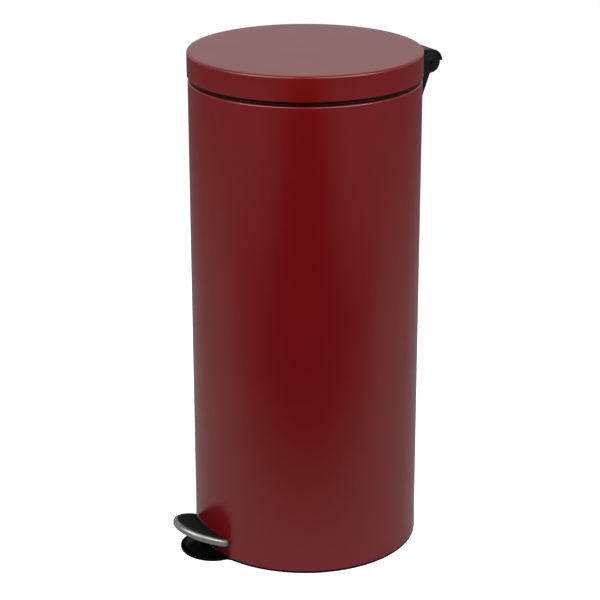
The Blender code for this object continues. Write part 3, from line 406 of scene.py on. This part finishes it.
def stand_up(bm):
    """Turn a slab drawn in X and Y so that its X lies along +Y, its Y along +Z and its depth along +X."""
    turn = Euler((pi / 2, 0, pi / 2)).to_matrix()
    bmesh.ops.rotate(bm, verts=bm.verts, cent=(0, 0, 0), matrix=turn)


def split(bm, faces, point, normal):
    """Cut the given faces along a plane."""
    edges = {edge for face in faces for edge in face.edges}
    verts = {vert for face in faces for vert in face.verts}
    geom = list(faces) + list(edges) + list(verts)
    bmesh.ops.bisect_plane(bm, geom=geom, dist=TOUCHING / 2, plane_co=point, plane_no=normal)


def touches_box(face, low, high):
    """True if a face's own box meets another box."""
    for axis in range(3):
        values = [v.co[axis] for v in face.verts]
        if max(values) < low[axis] or min(values) > high[axis]:
            return False
    return True


def inside_box(face, low, high):
    """True if a face's middle lies in a box."""
    centre = face.calc_center_median()
    return all(low[axis] < centre[axis] < high[axis] for axis in range(3))


def open_window(bm, low, high):
    """Cut a straight-sided window through a surface: everything inside the box goes."""
    low = Vector(low)
    high = Vector(high)
    for axis in range(3):
        normal = Matrix.Identity(3)[axis]
        for value in (low[axis], high[axis]):
            near = [f for f in bm.faces if touches_box(f, low, high)]
            if near:
                split(bm, near, normal * value, normal)
    gone = [f for f in bm.faces if inside_box(f, low, high)]
    bmesh.ops.delete(bm, geom=gone, context="FACES")


def thicken(obj, thickness, offset=-1):
    """Give an open surface its wall."""
    wall = obj.modifiers.new("Wall", "SOLIDIFY")
    wall.thickness = thickness
    wall.offset = offset
    wall.use_even_offset = True


def wide_piece(outline, half_width, inner_half_width, planes, keep):
    """A slab across the can, symmetric about X = 0, whose middle keeps only some of its outline.

    The outline is (Y, Z) points. The face at the inner half width is cut along planes, and only the
    parts whose centre passes the keep test run on to the middle.
    """

    def inner_faces():
        return [f for f in bm.faces if f.normal.x < -0.9]

    bm = slab(outline, 0, half_width - inner_half_width)
    stand_up(bm)
    bmesh.ops.translate(bm, verts=bm.verts, vec=(inner_half_width, 0, 0))
    for point, normal in planes:
        split(bm, inner_faces(), point, normal)
    kept = [f for f in inner_faces() if keep(f.calc_center_median())]
    grown = bmesh.ops.extrude_face_region(bm, geom=kept)
    bmesh.ops.translate(bm, verts=new_verts(grown), vec=(-inner_half_width, 0, 0))
    middle = [f for f in bm.faces if all(abs(v.co.x) < TOUCHING for v in f.verts)]
    bmesh.ops.delete(bm, geom=middle, context="FACES")
    both = bm.verts[:] + bm.edges[:] + bm.faces[:]
    bmesh.ops.mirror(bm, geom=both, axis="X", merge_dist=2 * TOUCHING)
    tidy(bm)
    bmesh.ops.dissolve_limit(bm, angle_limit=radians(1), verts=bm.verts, edges=bm.edges)
    return bm


def lay_on_pedal(bm):
    """Move a mesh drawn flat, with -Y outwards, onto the pedal's tilted plane."""
    bmesh.ops.rotate(bm, verts=bm.verts, cent=(0, 0, 0), matrix=Matrix.Rotation(-PEDAL_TILT, 3, "X"))
    bmesh.ops.translate(bm, verts=bm.verts, vec=(0, -PEDAL_ROOT, PEDAL_RISE))


def add_block(bm, size, centre, edge, segments=2):
    """Add a block with rounded edges to a mesh."""
    part = bmesh.new()
    bmesh.ops.create_cube(part, size=1)
    bmesh.ops.scale(part, verts=part.verts, vec=size)
    round_edges(part, edge, segments)
    bmesh.ops.translate(part, verts=part.verts, vec=centre)
    append(bm, part)


def append(bm, part):
    """Add one mesh to another."""
    mesh = bpy.data.meshes.new("part")
    part.to_mesh(mesh)
    part.free()
    bm.from_mesh(mesh)
    bpy.data.meshes.remove(mesh)


def bend_to_radius(bm, radius):
    """Press the flat front of a mesh, which touches a round wall from behind, onto that wall."""
    for vert in bm.verts:
        if vert.co.y < radius + TOUCHING / 10:
            vert.co.y = sqrt(radius ** 2 - vert.co.x ** 2)


def refined(name, material, body, slot, width):
    """A CAD node's own shape with its edges rounded."""
    bm = bmesh.new()
    bm.from_mesh(frame["nodes"][name].data)
    bmesh.ops.remove_doubles(bm, verts=bm.verts, dist=2 * TOUCHING)
    bmesh.ops.dissolve_limit(bm, angle_limit=radians(1), verts=bm.verts, edges=bm.edges)
    bmesh.ops.recalc_face_normals(bm, faces=bm.faces)
    round_edges(bm, width, 2, 35)
    bmesh.ops.dissolve_degenerate(bm, edges=bm.edges, dist=TOUCHING)
    piece(name + "_finished", bm, material, body, slot, name, sharp=40)


# ---------------------------------------------------------------- can

def open_lever_slot(bm):
    """Cut the slot for the pedal's lever into the front of the can's wall."""
    open_window(bm, (-SLOT_HALF_WIDTH, -CAN_RADIUS - CUT_PAST, FLOOR_TOP),
                (SLOT_HALF_WIDTH, -CAN_RADIUS + CUT_REACH, SLOT_TOP))


def open_behind(bm, half_width, bottom, top):
    """Cut an opening into the back of the can's wall."""
    open_window(bm, (-half_width, CAN_RADIUS - CUT_REACH, bottom),
                (half_width, CAN_RADIUS + CUT_PAST, top))


def make_shell():
    """Painted can: rolled top edge, straight wall, slightly swelled foot, lever slot and crank notch."""
    radius = CAN_RADIUS
    roll = 2.0 * MM
    swell = 0.4 * MM
    foot = 30 * MM
    hem = 4 * MM
    turned = 1.2 * MM
    edge = (radius - roll, CAN_TOP - roll)
    profile = [(radius - roll, CAN_TOP - hem)] + arc(edge, roll, 90, 0, 8)
    profile += [(radius, CAN_TOP - 3 * roll), (radius, CAN_TOP - NOTCH_DEPTH - roll)]
    profile += [(radius, CAN_BOTTOM + foot)]
    for i in range(9):
        t = i / 8
        ease = 0.5 - 0.5 * cos(pi * t)
        profile.append((radius + swell * ease, CAN_BOTTOM + foot - (foot - 2 * turned) * t))
    profile += arc((radius + swell - turned, CAN_BOTTOM + turned), turned, 0, -60, 4)
    bm = spun(profile)
    open_lever_slot(bm)
    open_behind(bm, NOTCH_HALF_WIDTH, CAN_TOP - NOTCH_DEPTH, CAN_TOP + 1 * MM)
    shell = piece("painted_can", bm, RED, CAN, "red_paint", "body_shell")
    thicken(shell, 0.8 * MM)


def make_base():
    """Black base: rim and floor, upright wall with its openings, ribs and rings underneath."""
    radius = CAN_RADIUS
    rim_top = CAN_BOTTOM - 0.3 * MM
    lift = base_low.z
    inner = radius - 8 * MM
    under = 3.4 * MM
    soft = 0.5 * MM
    wall_outer = radius - 1.3 * MM
    wall_inner = wall_outer - 3.1 * MM
    profile = [(0, FLOOR_TOP), (wall_inner, FLOOR_TOP), (wall_inner, rim_top)]
    profile += arc((radius - soft, rim_top - soft), soft, 90, 0, 3)
    profile += arc((radius - soft, lift + soft), soft, 0, -90, 3)
    profile += [(inner + soft, lift), (inner, lift + soft), (inner, under), (0, under)]
    piece("base_floor", spun(profile), BLACK, CAN, "black_plastic", "base_moulding")

    wall = spun([(wall_outer, base_high.z), (wall_outer, rim_top)])
    open_lever_slot(wall)
    open_behind(wall, 10 * MM, FLOOR_TOP, base_high.z + 1 * MM)
    thicken(piece("base_wall", wall, BLACK, CAN, "black_plastic", "base_moulding"), 3 * MM)

    rib_count = 12
    rib_size = (108 * MM, 1.6 * MM, 2.4 * MM)
    rib_centre = (82 * MM, 0, 2.2 * MM)
    ribs = bmesh.new()
    for i in range(rib_count):
        turn = Matrix.Rotation(2 * pi * i / rib_count, 3, "Z")
        part = bmesh.new()
        add_block(part, rib_size, rib_centre, 0.4 * MM)
        bmesh.ops.rotate(part, verts=part.verts, cent=(0, 0, 0), matrix=turn)
        append(ribs, part)
    piece("base_ribs", ribs, BLACK, CAN, "black_plastic", "base_moulding")

    hoop_top = under + 0.2 * MM
    hoop_bottom = 1.2 * MM
    for number, (middle, width) in enumerate([(28 * MM, 1.6 * MM), (84 * MM, 1.4 * MM)], 1):
        outside = middle + width / 2
        inside = middle - width / 2
        hoop = [(outside, hoop_top), (outside, hoop_bottom), (inside, hoop_bottom), (inside, hoop_top)]
        ring = spun(hoop, closed=True)
        piece(f"base_ring_{number}", ring, BLACK, CAN, "black_plastic", "base_moulding")


def make_tongue():
    """Tongue in front of the base: a low dome with a rounded edge, flared where it meets the can."""
    depth = 4.5 * MM                    # how far the tongue's ellipse starts inwards of the can
    length = -base_low.y - CAN_RADIUS + depth
    half = 43.5 * MM
    root = CAN_RADIUS - depth
    wall = CAN_RADIUS + 0.15 * MM
    flare = 4 * MM
    flare_width = 1.6 * flare
    front = [(x, y - root) for x, y in half_ellipse(half, length, 48)]
    front = [p for p in front if sqrt(p[0] ** 2 + p[1] ** 2) > wall + flare]
    side = front[0][0]
    flank = []
    for i in range(1, 6):
        t = i / 5
        x = side + flare_width * t ** 2
        reach = sqrt((wall + flare * (1 - t) ** 1.5) ** 2 - x ** 2)
        flank.append((x, -reach))
    back = []
    last = atan2(flank[-1][0], -flank[-1][1])
    for i in range(1, 24):
        turn = last - 2 * last * i / 24
        back.append((wall * sin(turn), -wall * cos(turn)))
    left = [(-x, y) for x, y in flank]
    outline = flank[::-1] + front + left + back[::-1]
    bm = slab(outline, base_low.z + 0.2 * MM, 3.3 * MM)
    top = max(bm.faces, key=lambda f: f.calc_center_median().z)
    middle = Matrix.Translation((0, wall, 0))
    for share, rise in ((0.95, 1.1 * MM), (0.93, 0.7 * MM), (0.9, 0.4 * MM)):
        grown = bmesh.ops.extrude_face_region(bm, geom=[top])
        moved = new_verts(grown)
        bmesh.ops.scale(bm, verts=moved, vec=(share, share, 1), space=middle)
        bmesh.ops.translate(bm, verts=moved, vec=(0, 0, rise))
        top = next(item for item in grown["geom"] if isinstance(item, bmesh.types.BMFace))
    round_edges(bm, 1.5 * MM, 6, 40)
    piece("base_tongue", bm, BLACK, CAN, "black_plastic", "base_moulding", sharp=50)


def make_feet():
    """Rubber feet with a ring groove in the sole, each in a socket of the base."""
    soft = 0.7 * MM
    chamfer = 0.4 * MM
    groove_depth = 0.7 * MM
    groove_half = 0.8 * MM
    socket_top = 3.6 * MM
    socket_bottom = 0.8 * MM
    for number in range(1, 5):
        name = f"rubber_foot_{number}"
        low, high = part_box(name)
        centre = (low + high) / 2
        radius = (high.x - low.x) / 2
        groove = radius * 0.55
        profile = [(0, high.z), (radius - chamfer, high.z), (radius, high.z - chamfer)]
        profile += arc((radius - soft, low.z + soft), soft, 0, -90, 4)
        sunk = low.z + groove_depth
        profile += [(groove + groove_half, low.z), (groove + groove_half / 2, sunk)]
        profile += [(groove - groove_half / 2, sunk), (groove - groove_half, low.z), (0, low.z)]
        bm = spun(profile, steps=ROUND)
        bmesh.ops.translate(bm, verts=bm.verts, vec=(centre.x, centre.y, 0))
        piece(name + "_finished", bm, RUBBER, CAN, "rubber", name)
        inner = radius + 0.3 * MM
        outer = radius + 2.8 * MM
        boss = [(outer, socket_top), (outer, 1.0 * MM), (outer - chamfer, socket_bottom)]
        boss += [(inner, socket_bottom), (inner, socket_top)]
        ring = spun(boss, closed=True, steps=ROUND)
        bmesh.ops.translate(ring, verts=ring.verts, vec=(centre.x, centre.y, 0))
        piece(f"foot_socket_{number}", ring, BLACK, CAN, "black_plastic", "base_moulding")


def make_collar():
    """Black collar in the can's mouth, open behind for the crank; its black is tinted red as painted bounce light
    from the red paint.
    """
    outer = CAN_RADIUS - 2.3 * MM
    rim_inner = outer - 3 * MM
    skirt = collar_high.x
    skirt_inner = skirt - 2 * MM
    top = collar_high.z
    bottom = collar_low.z
    ledge = CAN_TOP - 6 * MM
    ledge_half = 1.5 * MM
    ledge_inner = CAN_RADIUS - 19 * MM
    soft = 0.6 * MM
    hem = CAN_TOP - 4.3 * MM
    profile = [(rim_inner + soft, top)] + arc((outer - soft, top - soft), soft, 90, 0, 3)
    profile += [(outer, hem), (skirt, hem), (skirt, bottom)]
    profile += [(skirt_inner, bottom), (skirt_inner, ledge - 2 * ledge_half)]
    profile += arc((ledge_inner + 1.2 * MM, ledge - ledge_half), ledge_half, 250, 110, 4)
    profile += [(rim_inner, ledge), (rim_inner, top - soft)]
    gap = 2 * NOTCH_HALF_WIDTH / outer
    piece("mouth_collar", spun(profile, closed=True, gap=gap), LINING_PAINTED_RED_BOUNCE, CAN, "black_plastic", "rim_collar")


def make_bucket():
    """Dark grey bucket: tapered wall, upper ring with its rim, finger openings and crank notch."""
    rim = bucket_high.x
    top = bucket_high.z
    bottom = bucket_low.z
    height = top - bottom
    radius = rim - 12 * MM
    foot = radius - 8 * MM
    soft = 3 * MM
    seam = 0.9                          # share of the height where the upper ring starts
    step = 0.5 * MM
    roll = 1.1 * MM
    bend = 2 * MM
    recess = 2 * MM
    finger_half_width = 40 * MM
    finger_low = CAN_TOP - 39 * MM
    finger_high = CAN_TOP - 14 * MM
    wall = [(rim, top - 2.4 * MM)] + arc((rim - roll, top - roll), roll, 0, 90, 4)
    wall += arc((radius + bend, top - bend), bend, 90, 180, 5)
    for share in (0.985, seam, seam - 0.001, 0.6, 0.3, 0.05):
        inset = 0.0 if share >= seam else step
        wall.append((foot + (radius - foot) * share - inset, bottom + height * share))
    wall += arc((foot - soft - step, bottom + soft), soft, 0, -90, 5)
    wall += [(foot * 0.8, bottom), (foot * 0.78, bottom + recess), (0, bottom + recess)]
    bm = spun(wall)
    for side in (-1, 1):
        low = [side * radius - 15 * MM, -finger_half_width, finger_low]
        high = [side * radius + 9 * MM, finger_half_width, finger_high]
        open_window(bm, low, high)
    open_window(bm, (-NOTCH_HALF_WIDTH, radius + 2.2 * MM, bottom),
                (NOTCH_HALF_WIDTH, rim + CUT_PAST, top + CUT_PAST))
    thicken(piece("waste_bucket", bm, GREY, CAN, "grey_plastic", "inner_bucket", "bucket_rim"), 1.8 * MM, 1)


# ---------------------------------------------------------------- lid

def make_lid():
    """Painted lid: flat top, rounded edge, plain skirt with its edge turned in."""
    radius = LID_RADIUS
    edge = 3 * MM
    top = lid_high.z
    bottom = lid_low.z
    wall = 0.9 * MM
    roll = wall / 2
    hem = 3 * MM
    centre = (radius - edge, top - edge)
    profile = [(0, top), (radius * 0.5, top), (radius * 0.9, top)] + arc(centre, edge, 90, 0, 10)
    profile += [(radius, bottom + hem)]
    profile += arc((radius - roll, bottom + roll), roll, 0, -180, 6)
    profile += arc(centre, edge - wall, 0, 90, 6) + [(radius * 0.5, top - wall), (0, top - wall)]
    piece("painted_lid", spun(profile), RED, LID, "red_paint", "lid_shell")


def make_liner():
    """Black liner inside the lid: closing lip, inner wall and two raised rings; its black is tinted red as painted
    bounce light from the red paint.
    """
    outer = liner_high.x
    top = liner_high.z
    bottom = liner_low.z
    slope = 4 * MM
    lip_top = lid_low.z + 0.3 * MM
    lip_outer = outer - 1.6 * MM
    inner = outer - 5 * MM
    soft = 0.5 * MM
    bend = 3 * MM
    ceiling = top - 2.5 * MM
    ring_face = ceiling - 1.2 * MM
    profile = [(0, top), (outer - slope, top), (outer, top - slope), (outer, lip_top)]
    profile += [(lip_outer, lip_top)]
    profile += arc((lip_outer - soft, bottom + soft), soft, 0, -90, 3)
    profile += arc((inner + soft, bottom + soft), soft, -90, -180, 3)
    profile += arc((inner - bend, ceiling - bend), bend, 0, 90, 5)
    for share in (0.72, 0.35):
        middle = outer * share
        profile += [(middle + 4 * MM, ceiling), (middle + 3 * MM, ring_face)]
        profile += [(middle - 3 * MM, ring_face), (middle - 4 * MM, ceiling)]
    profile += [(0, ceiling)]
    piece("lid_lining", spun(profile), LINING_PAINTED_RED_BOUNCE, LID, "black_plastic", "lid_liner")


# ---------------------------------------------------------------- hinge

def put_on_pin(bm, side=1):
    """Lay a mesh spun round the can's axis along the hinge pin, its top to one side."""
    turn = Matrix.Rotation(side * pi / 2, 3, "Y")
    bmesh.ops.rotate(bm, verts=bm.verts, cent=(0, 0, 0), matrix=turn)
    bmesh.ops.translate(bm, verts=bm.verts, vec=(0, PIN.y, PIN.z))


def make_bracket():
    """Hinge bracket: round cheeks with a raised boss about the pin, and a tail down the can."""
    wall = CAN_RADIUS + 0.3 * MM
    tail = 1.2 * MM
    low = bracket_low.z
    cheek = 13.5 * MM
    cheek_inner = 11 * MM
    slot_floor = CAN_TOP - 29 * MM
    outline = [(wall, low), (wall + tail, low)]
    outline += arc((PIN.y, PIN.z), cheek, -95, 200, 48)
    outline += [(wall, PIN.z - cheek / 2)]
    bm = wide_piece(outline, bracket_high.x, cheek_inner, [((0, 0, slot_floor), UP)],
                    lambda centre: centre.z < slot_floor)
    bend_to_radius(bm, wall)
    round_edges(bm, 0.7 * MM)
    piece("hinge_bracket_finished", bm, HINGE_BLACK, CAN, "black_plastic", "hinge_bracket")

    boss = 6.2 * MM
    boss_face = boss - 0.6 * MM
    bore = 2.6 * MM
    outer = bracket_high.x + 0.5 * MM
    sunk = outer - 1.6 * MM
    ring = [(boss, outer - 0.4 * MM), (boss, sunk), (bore, sunk), (bore, outer), (boss_face, outer)]
    for name, side in (("pin_boss_left", -1), ("pin_boss_right", 1)):
        bm = spun(ring, closed=True, steps=ROUND)
        put_on_pin(bm, side)
        piece(name, bm, HINGE_BLACK, CAN, "black_plastic", "hinge_bracket")


def make_pin():
    """Hinge pin with chamfered ends, a little below the bosses' faces, coloured near black as painted shade of its
    recess.
    """
    radius = 2.0 * MM
    half = bracket_high.x + 0.15 * MM
    chamfer = 0.3 * MM
    profile = [(0, half), (radius - chamfer, half), (radius, half - chamfer)]
    profile += [(r, -h) for r, h in profile[::-1]]
    bm = spun(profile, steps=ROUND)
    put_on_pin(bm)
    piece("hinge_pin_finished", bm, PIN_PAINTED_SHADE, CAN, "bare_steel", "hinge_pin")


def make_hood():
    """Hood over the hinge: round back, flat top into the lid's skirt, slotted for the steel arm."""
    pin = (PIN.y, PIN.z)
    inner = 14.1 * MM
    outer = 17.1 * MM
    slot_half_width = 3.3 * MM
    rear = degrees(1.3 * MM / inner)
    front = 180 - degrees(4 * MM / inner)
    face = LID_RADIUS + 0.2 * MM
    outline = arc(pin, outer, rear, 90, 24)
    outline += [(face, PIN.z + outer), (face, lid_low.z + 0.3 * MM)]
    outline += arc(pin, inner, front, rear, 36)
    arm_front = LID_RADIUS + 3.4 * MM
    arm_top = PIN.z + inner - 1.3 * MM
    back = (0, 1, 0)
    planes = [((0, arm_front, 0), back), ((0, 0, arm_top + 0.3 * MM), UP), ((0, PIN.y, 0), back)]

    def keep(centre):
        return centre.y < arm_front or centre.z > arm_top or centre.y > PIN.y

    bm = wide_piece(outline, hood_high.x, slot_half_width, planes, keep)
    bend_to_radius(bm, face)
    round_edges(bm, 0.7 * MM)
    piece("hinge_hood_finished", bm, HINGE_BLACK, LID, "black_plastic", "hinge_hood")


# ---------------------------------------------------------------- pedal

def wall_line(x, clearance):
    """How far inwards of the pedal's root the can lets a flat pedal piece reach, at one X."""
    reach = sqrt((CAN_RADIUS + clearance) ** 2 - x ** 2)
    return -(reach - PEDAL_ROOT) / cos(PEDAL_TILT)


def swept(path, sections):
    """A closed skin over rings of points, one ring at each point of a flat path."""
    bm = bmesh.new()
    rings = []
    for i, (x, y) in enumerate(path):
        before = path[max(i - 1, 0)]
        after = path[min(i + 1, len(path) - 1)]
        along = Vector((after[0] - before[0], after[1] - before[1])).normalized()
        out = Vector((-along.y, along.x))
        verts = [bm.verts.new((x + out.x * u, y + out.y * u, w)) for u, w in sections[i]]
        edges = [bm.edges.new((verts[j - 1], verts[j])) for j in range(len(verts))]
        rings.append(edges)
    for first, second in zip(rings, rings[1:]):
        bmesh.ops.bridge_loops(bm, edges=first + second)
    for ring in (rings[0], rings[-1]):
        bmesh.ops.contextual_create(bm, geom=ring)
    bmesh.ops.recalc_face_normals(bm, faces=bm.faces)
    return bm


def make_trim():
    """Bright band: half-round outside, swept round the pedal, with domed ends close to the can."""
    half_width = TRIM_WIDTH / 2
    half_height = TRIM_HEIGHT / 2
    middle = PEDAL_HALF_WIDTH - half_width
    reach = PEDAL_LENGTH - half_width
    start = wall_line(middle, 1.8 * MM)
    dome = 3.6 * MM
    fullness = 0.85                     # below 1 the section is fuller than an ellipse
    bend = [p for p in half_ellipse(middle, reach, 120) if p[1] < start - 0.4 * MM]
    side = []
    for t in (0, 0.004, 0.02, 0.06, 0.15, 0.3, 0.5, 0.75):
        side.append((middle + (bend[0][0] - middle) * t, start + (bend[0][1] - start) * t))
    path = side + bend + [(-x, y) for x, y in side[::-1]]
    lengths = [0.0]
    for here, there in zip(path, path[1:]):
        lengths.append(lengths[-1] + sqrt((here[0] - there[0]) ** 2 + (here[1] - there[1]) ** 2))
    inner_edge = half_height - 0.6 * MM
    section = [(-half_width, -inner_edge)]
    for angle in range(-84, 85, 12):
        turn = radians(angle)
        out = -half_width + TRIM_WIDTH * cos(turn) ** fullness
        section.append((out, half_height * sin(turn)))
    section.append((-half_width, inner_edge))
    sections = []
    for length in lengths:
        inwards = min(length, lengths[-1] - length, dome) / dome
        size = max(sqrt(1 - (1 - inwards) ** 2), 0.02)
        sections.append([(u * size, w * size) for u, w in section])
    bm = swept(path, sections)
    lay_on_pedal(bm)
    piece("pedal_band", bm, BAND, PEDAL, "bright_steel", "pedal_trim", sharp=60)


def make_tread():
    """Rubber tread: a mat inside the band, with rounded ribs from front to back."""
    inset = TRIM_WIDTH + 0.3 * MM
    half = PEDAL_HALF_WIDTH - inset
    length = PEDAL_LENGTH - inset
    clear = 3.6 * MM
    sunk = 2.8 * MM
    pitch = 5.6 * MM
    rib_width = 2.7 * MM
    rib_height = sunk + 0.4 * MM
    shortest = 4 * MM
    front = [(x, y) for x, y in half_ellipse(half, length) if y < wall_line(x, clear)]
    last = front[-1][0]
    back = []
    for i in range(1, 20):
        x = last - 2 * last * i / 20
        back.append((x, wall_line(x, clear)))
    bm = slab(front + back, TREAD_BOTTOM, TREAD_TOP - sunk)
    round_edges(bm, 0.35 * MM, 2, 50)
    count = int(half / pitch)
    for i in range(-count, count + 1):
        x = i * pitch
        near = wall_line(x, clear) - 0.3 * MM
        far = -length * sqrt(max(0, 1 - (x / half) ** 2)) + 0.8 * MM
        if near - far > shortest:
            centre = (x, (near + far) / 2, TREAD_TOP - rib_height / 2)
            add_block(bm, (rib_width, near - far, rib_height), centre, 0.7 * MM, 3)
    lay_on_pedal(bm)
    piece("pedal_mat", bm, RUBBER, PEDAL, "rubber", "pedal_tread", sharp=50)


# ---------------------------------------------------------------- stage

def make_floor():
    """Pale floor, evenly bright to the camera; for bounced light its colour carries painted shade far away and
    towards the viewer, and painted light in two patches at the far sides.
    """
    bm = bmesh.new()
    bmesh.ops.create_grid(bm, x_segments=1, y_segments=1, size=8)
    mesh = bpy.data.meshes.new("floor")
    bm.to_mesh(mesh)
    bm.free()
    floor = bpy.data.objects.new("floor", mesh)
    floor.location = (0, 0, -0.2 * MM)
    bpy.context.scene.collection.objects.link(floor)
    material = new_material("pale_floor", 0.9)
    shader = shader_of(material)
    shader.inputs["Specular IOR Level"].default_value = 0.0
    shader.inputs["Emission Color"].default_value = (1, 1, 1, 1)
    point = node(material, "ShaderNodeTexCoord").outputs["Object"]
    length = node(material, "ShaderNodeVectorMath", operation="LENGTH")
    link(material, point, length.inputs[0])
    far = length.outputs["Value"]
    # painted shade: the floor's colour darkens towards the viewer and far away
    forwards = distance_along(material, point, TOWARDS_VIEWER)
    behind = between(material, forwards, 1.0, 0.0, 0.18, 0.7)
    near = between(material, far, 0.44, 0.3, 0.2, 2.0)
    middle = worked_out(material, "MULTIPLY", behind, near)
    # painted light: two brighter patches far out at the sides
    aside = worked_out(material, "ABSOLUTE", distance_along(material, point, ASIDE))
    outside = between(material, aside, 0.0, 1.0, 0.6, 1.1)
    distant = between(material, far, 0.0, 0.3, 1.1, 1.7)
    sides = worked_out(material, "MULTIPLY", distant, outside)
    lit = worked_out(material, "MAXIMUM", middle, sides)
    # only bounced light sees this painted light and shade; the camera sees the plain pale colour
    link(material, seen_as(material, lit, 0.94), shader.inputs["Base Color"])
    direct = node(material, "ShaderNodeLightPath").outputs["Is Camera Ray"]
    link(material, between(material, direct, 0.0, 0.68, 0, 1), shader.inputs["Emission Strength"])
    mesh.materials.append(material)


def soft_lamp(name, place, size, power):
    """A round soft lamp aimed at the middle of the can."""
    aim = UP * 0.3
    data = bpy.data.lights.new(name, "AREA")
    data.shape = "DISK"
    data.size = size
    data.energy = power
    lamp = bpy.data.objects.new(name, data)
    lamp.location = place
    lamp.rotation_euler = (aim - lamp.location).to_track_quat("-Z", "Y").to_euler()
    bpy.context.scene.collection.objects.link(lamp)


def make_light():
    """White studio, darker behind the viewer and overhead, with soft lamps above on both sides."""
    world = bpy.data.worlds.new("studio")
    bpy.context.scene.world = world
    world.use_nodes = True
    world.node_tree.nodes.clear()
    direction = node(world, "ShaderNodeTexCoord").outputs["Generated"]
    forwards = distance_along(world, direction, TOWARDS_VIEWER)
    upwards = distance_along(world, direction, UP)
    walls = between(world, forwards, 0.70, 0.01, -0.1, 0.8, "SMOOTHSTEP")
    ceiling = between(world, upwards, 1.0, 0.2, 0.48, 0.85, "SMOOTHSTEP")
    around = worked_out(world, "MULTIPLY", walls, ceiling)
    background = node(world, "ShaderNodeBackground")
    link(world, seen_as(world, around, 1.25), background.inputs["Strength"])
    output = node(world, "ShaderNodeOutputWorld")
    link(world, background.outputs["Background"], output.inputs["Surface"])

    lamps = [("softbox", 1.5, 1.4, 2.2, 2.6, 59), ("fill", 0.6, 1.1, 1.1, 0.8, 4)]
    for kind, forwards, sideways, height, size, power in lamps:
        for hand, side in (("left", ASIDE), ("right", -ASIDE)):
            place = TOWARDS_VIEWER * forwards + side * sideways + UP * height
            soft_lamp(f"{hand}_{kind}", place, size, power)


def make_camera():
    """Long lens, from the pedal's right-hand side and a little above."""
    distance = 2.430
    height = 1.208
    looking_down = 20.07                # degrees
    camera_data = bpy.data.cameras.new("camera")
    camera_data.lens = 119.7
    camera_data.sensor_width = 36
    camera_data.shift_x = -0.00855
    camera = bpy.data.objects.new("camera", camera_data)
    camera.location = TOWARDS_VIEWER * distance + UP * height
    camera.rotation_euler = (radians(90 - looking_down), 0, VIEW_AZIMUTH)
    bpy.context.scene.collection.objects.link(camera)
    bpy.context.scene.camera = camera


# ---------------------------------------------------------------- everything

RED = red_powder_coat()
BLACK = black_moulding("black_gloss_moulding", gloss=0.035, smooth=0.13, rough=0.2,
                       dark=(0.0013, 0.0013, 0.0014), light=(0.0028, 0.0028, 0.0029))
HINGE_BLACK = black_moulding("black_satin_hinge", gloss=0.16, smooth=0.26, rough=0.36,
                             dark=(0.005, 0.005, 0.005), light=(0.0085, 0.0082, 0.008))
# the lining's black is tinted red: painted bounce light from the red can and lid
LINING_PAINTED_RED_BOUNCE = black_moulding("black_satin_lining_painted_red_bounce", gloss=0.1, smooth=0.2, rough=0.3,
                        dark=(0.013, 0.0016, 0.0014), light=(0.021, 0.0028, 0.0024))
GREY = dark_grained_moulding()
RUBBER = black_rubber()
BAND = brushed_band()
# the pin's steel is coloured near black: painted shade of the hole in the bosses
PIN_PAINTED_SHADE = black_moulding("pin_painted_recess_shade", gloss=0.02, smooth=0.4, rough=0.5,
                          dark=(0.0005, 0.0005, 0.0005), light=(0.001, 0.001, 0.001))
ZINC = zinc_plate()
STEEL = drawn_steel()

make_camera()
make_shell()
make_base()
make_tongue()
make_feet()
make_collar()
make_bucket()
make_lid()
make_liner()
make_bracket()
make_pin()
make_hood()
make_trim()
make_tread()

refined("hinge_backplate", ZINC, CAN, "zinc_steel", 0.3 * MM)
refined("hinge_arm", ZINC, LID, "zinc_steel", 0.4 * MM)
refined("pedal_lever", ZINC, PEDAL, "zinc_steel", 0.5 * MM)
refined("pedal_plate", ZINC, PEDAL, "zinc_steel", 0.3 * MM)
for name in ("rod_guide_lower", "rod_guide_upper"):
    refined(name, GREY, CAN, "grey_plastic", 0.5 * MM)
refined("rod_head", GREY, ROD, "grey_plastic", 0.5 * MM)

# the CAD nodes that stay as they are take their slot's finish
finishes = {"zinc_steel": ZINC, "bare_steel": STEEL, "grey_plastic": GREY, "black_plastic": BLACK,
            "rubber": RUBBER, "bright_steel": BAND, "red_paint": RED}
for entry in frame["record"]["subparts"]:
    held = frame["nodes"][entry["node"]]
    if not held.hide_render:
        held.data.materials.clear()
        held.data.materials.append(finishes[entry["material_slot"]])

make_floor()
make_light()
bpy.context.scene.view_settings.view_transform = "Standard"
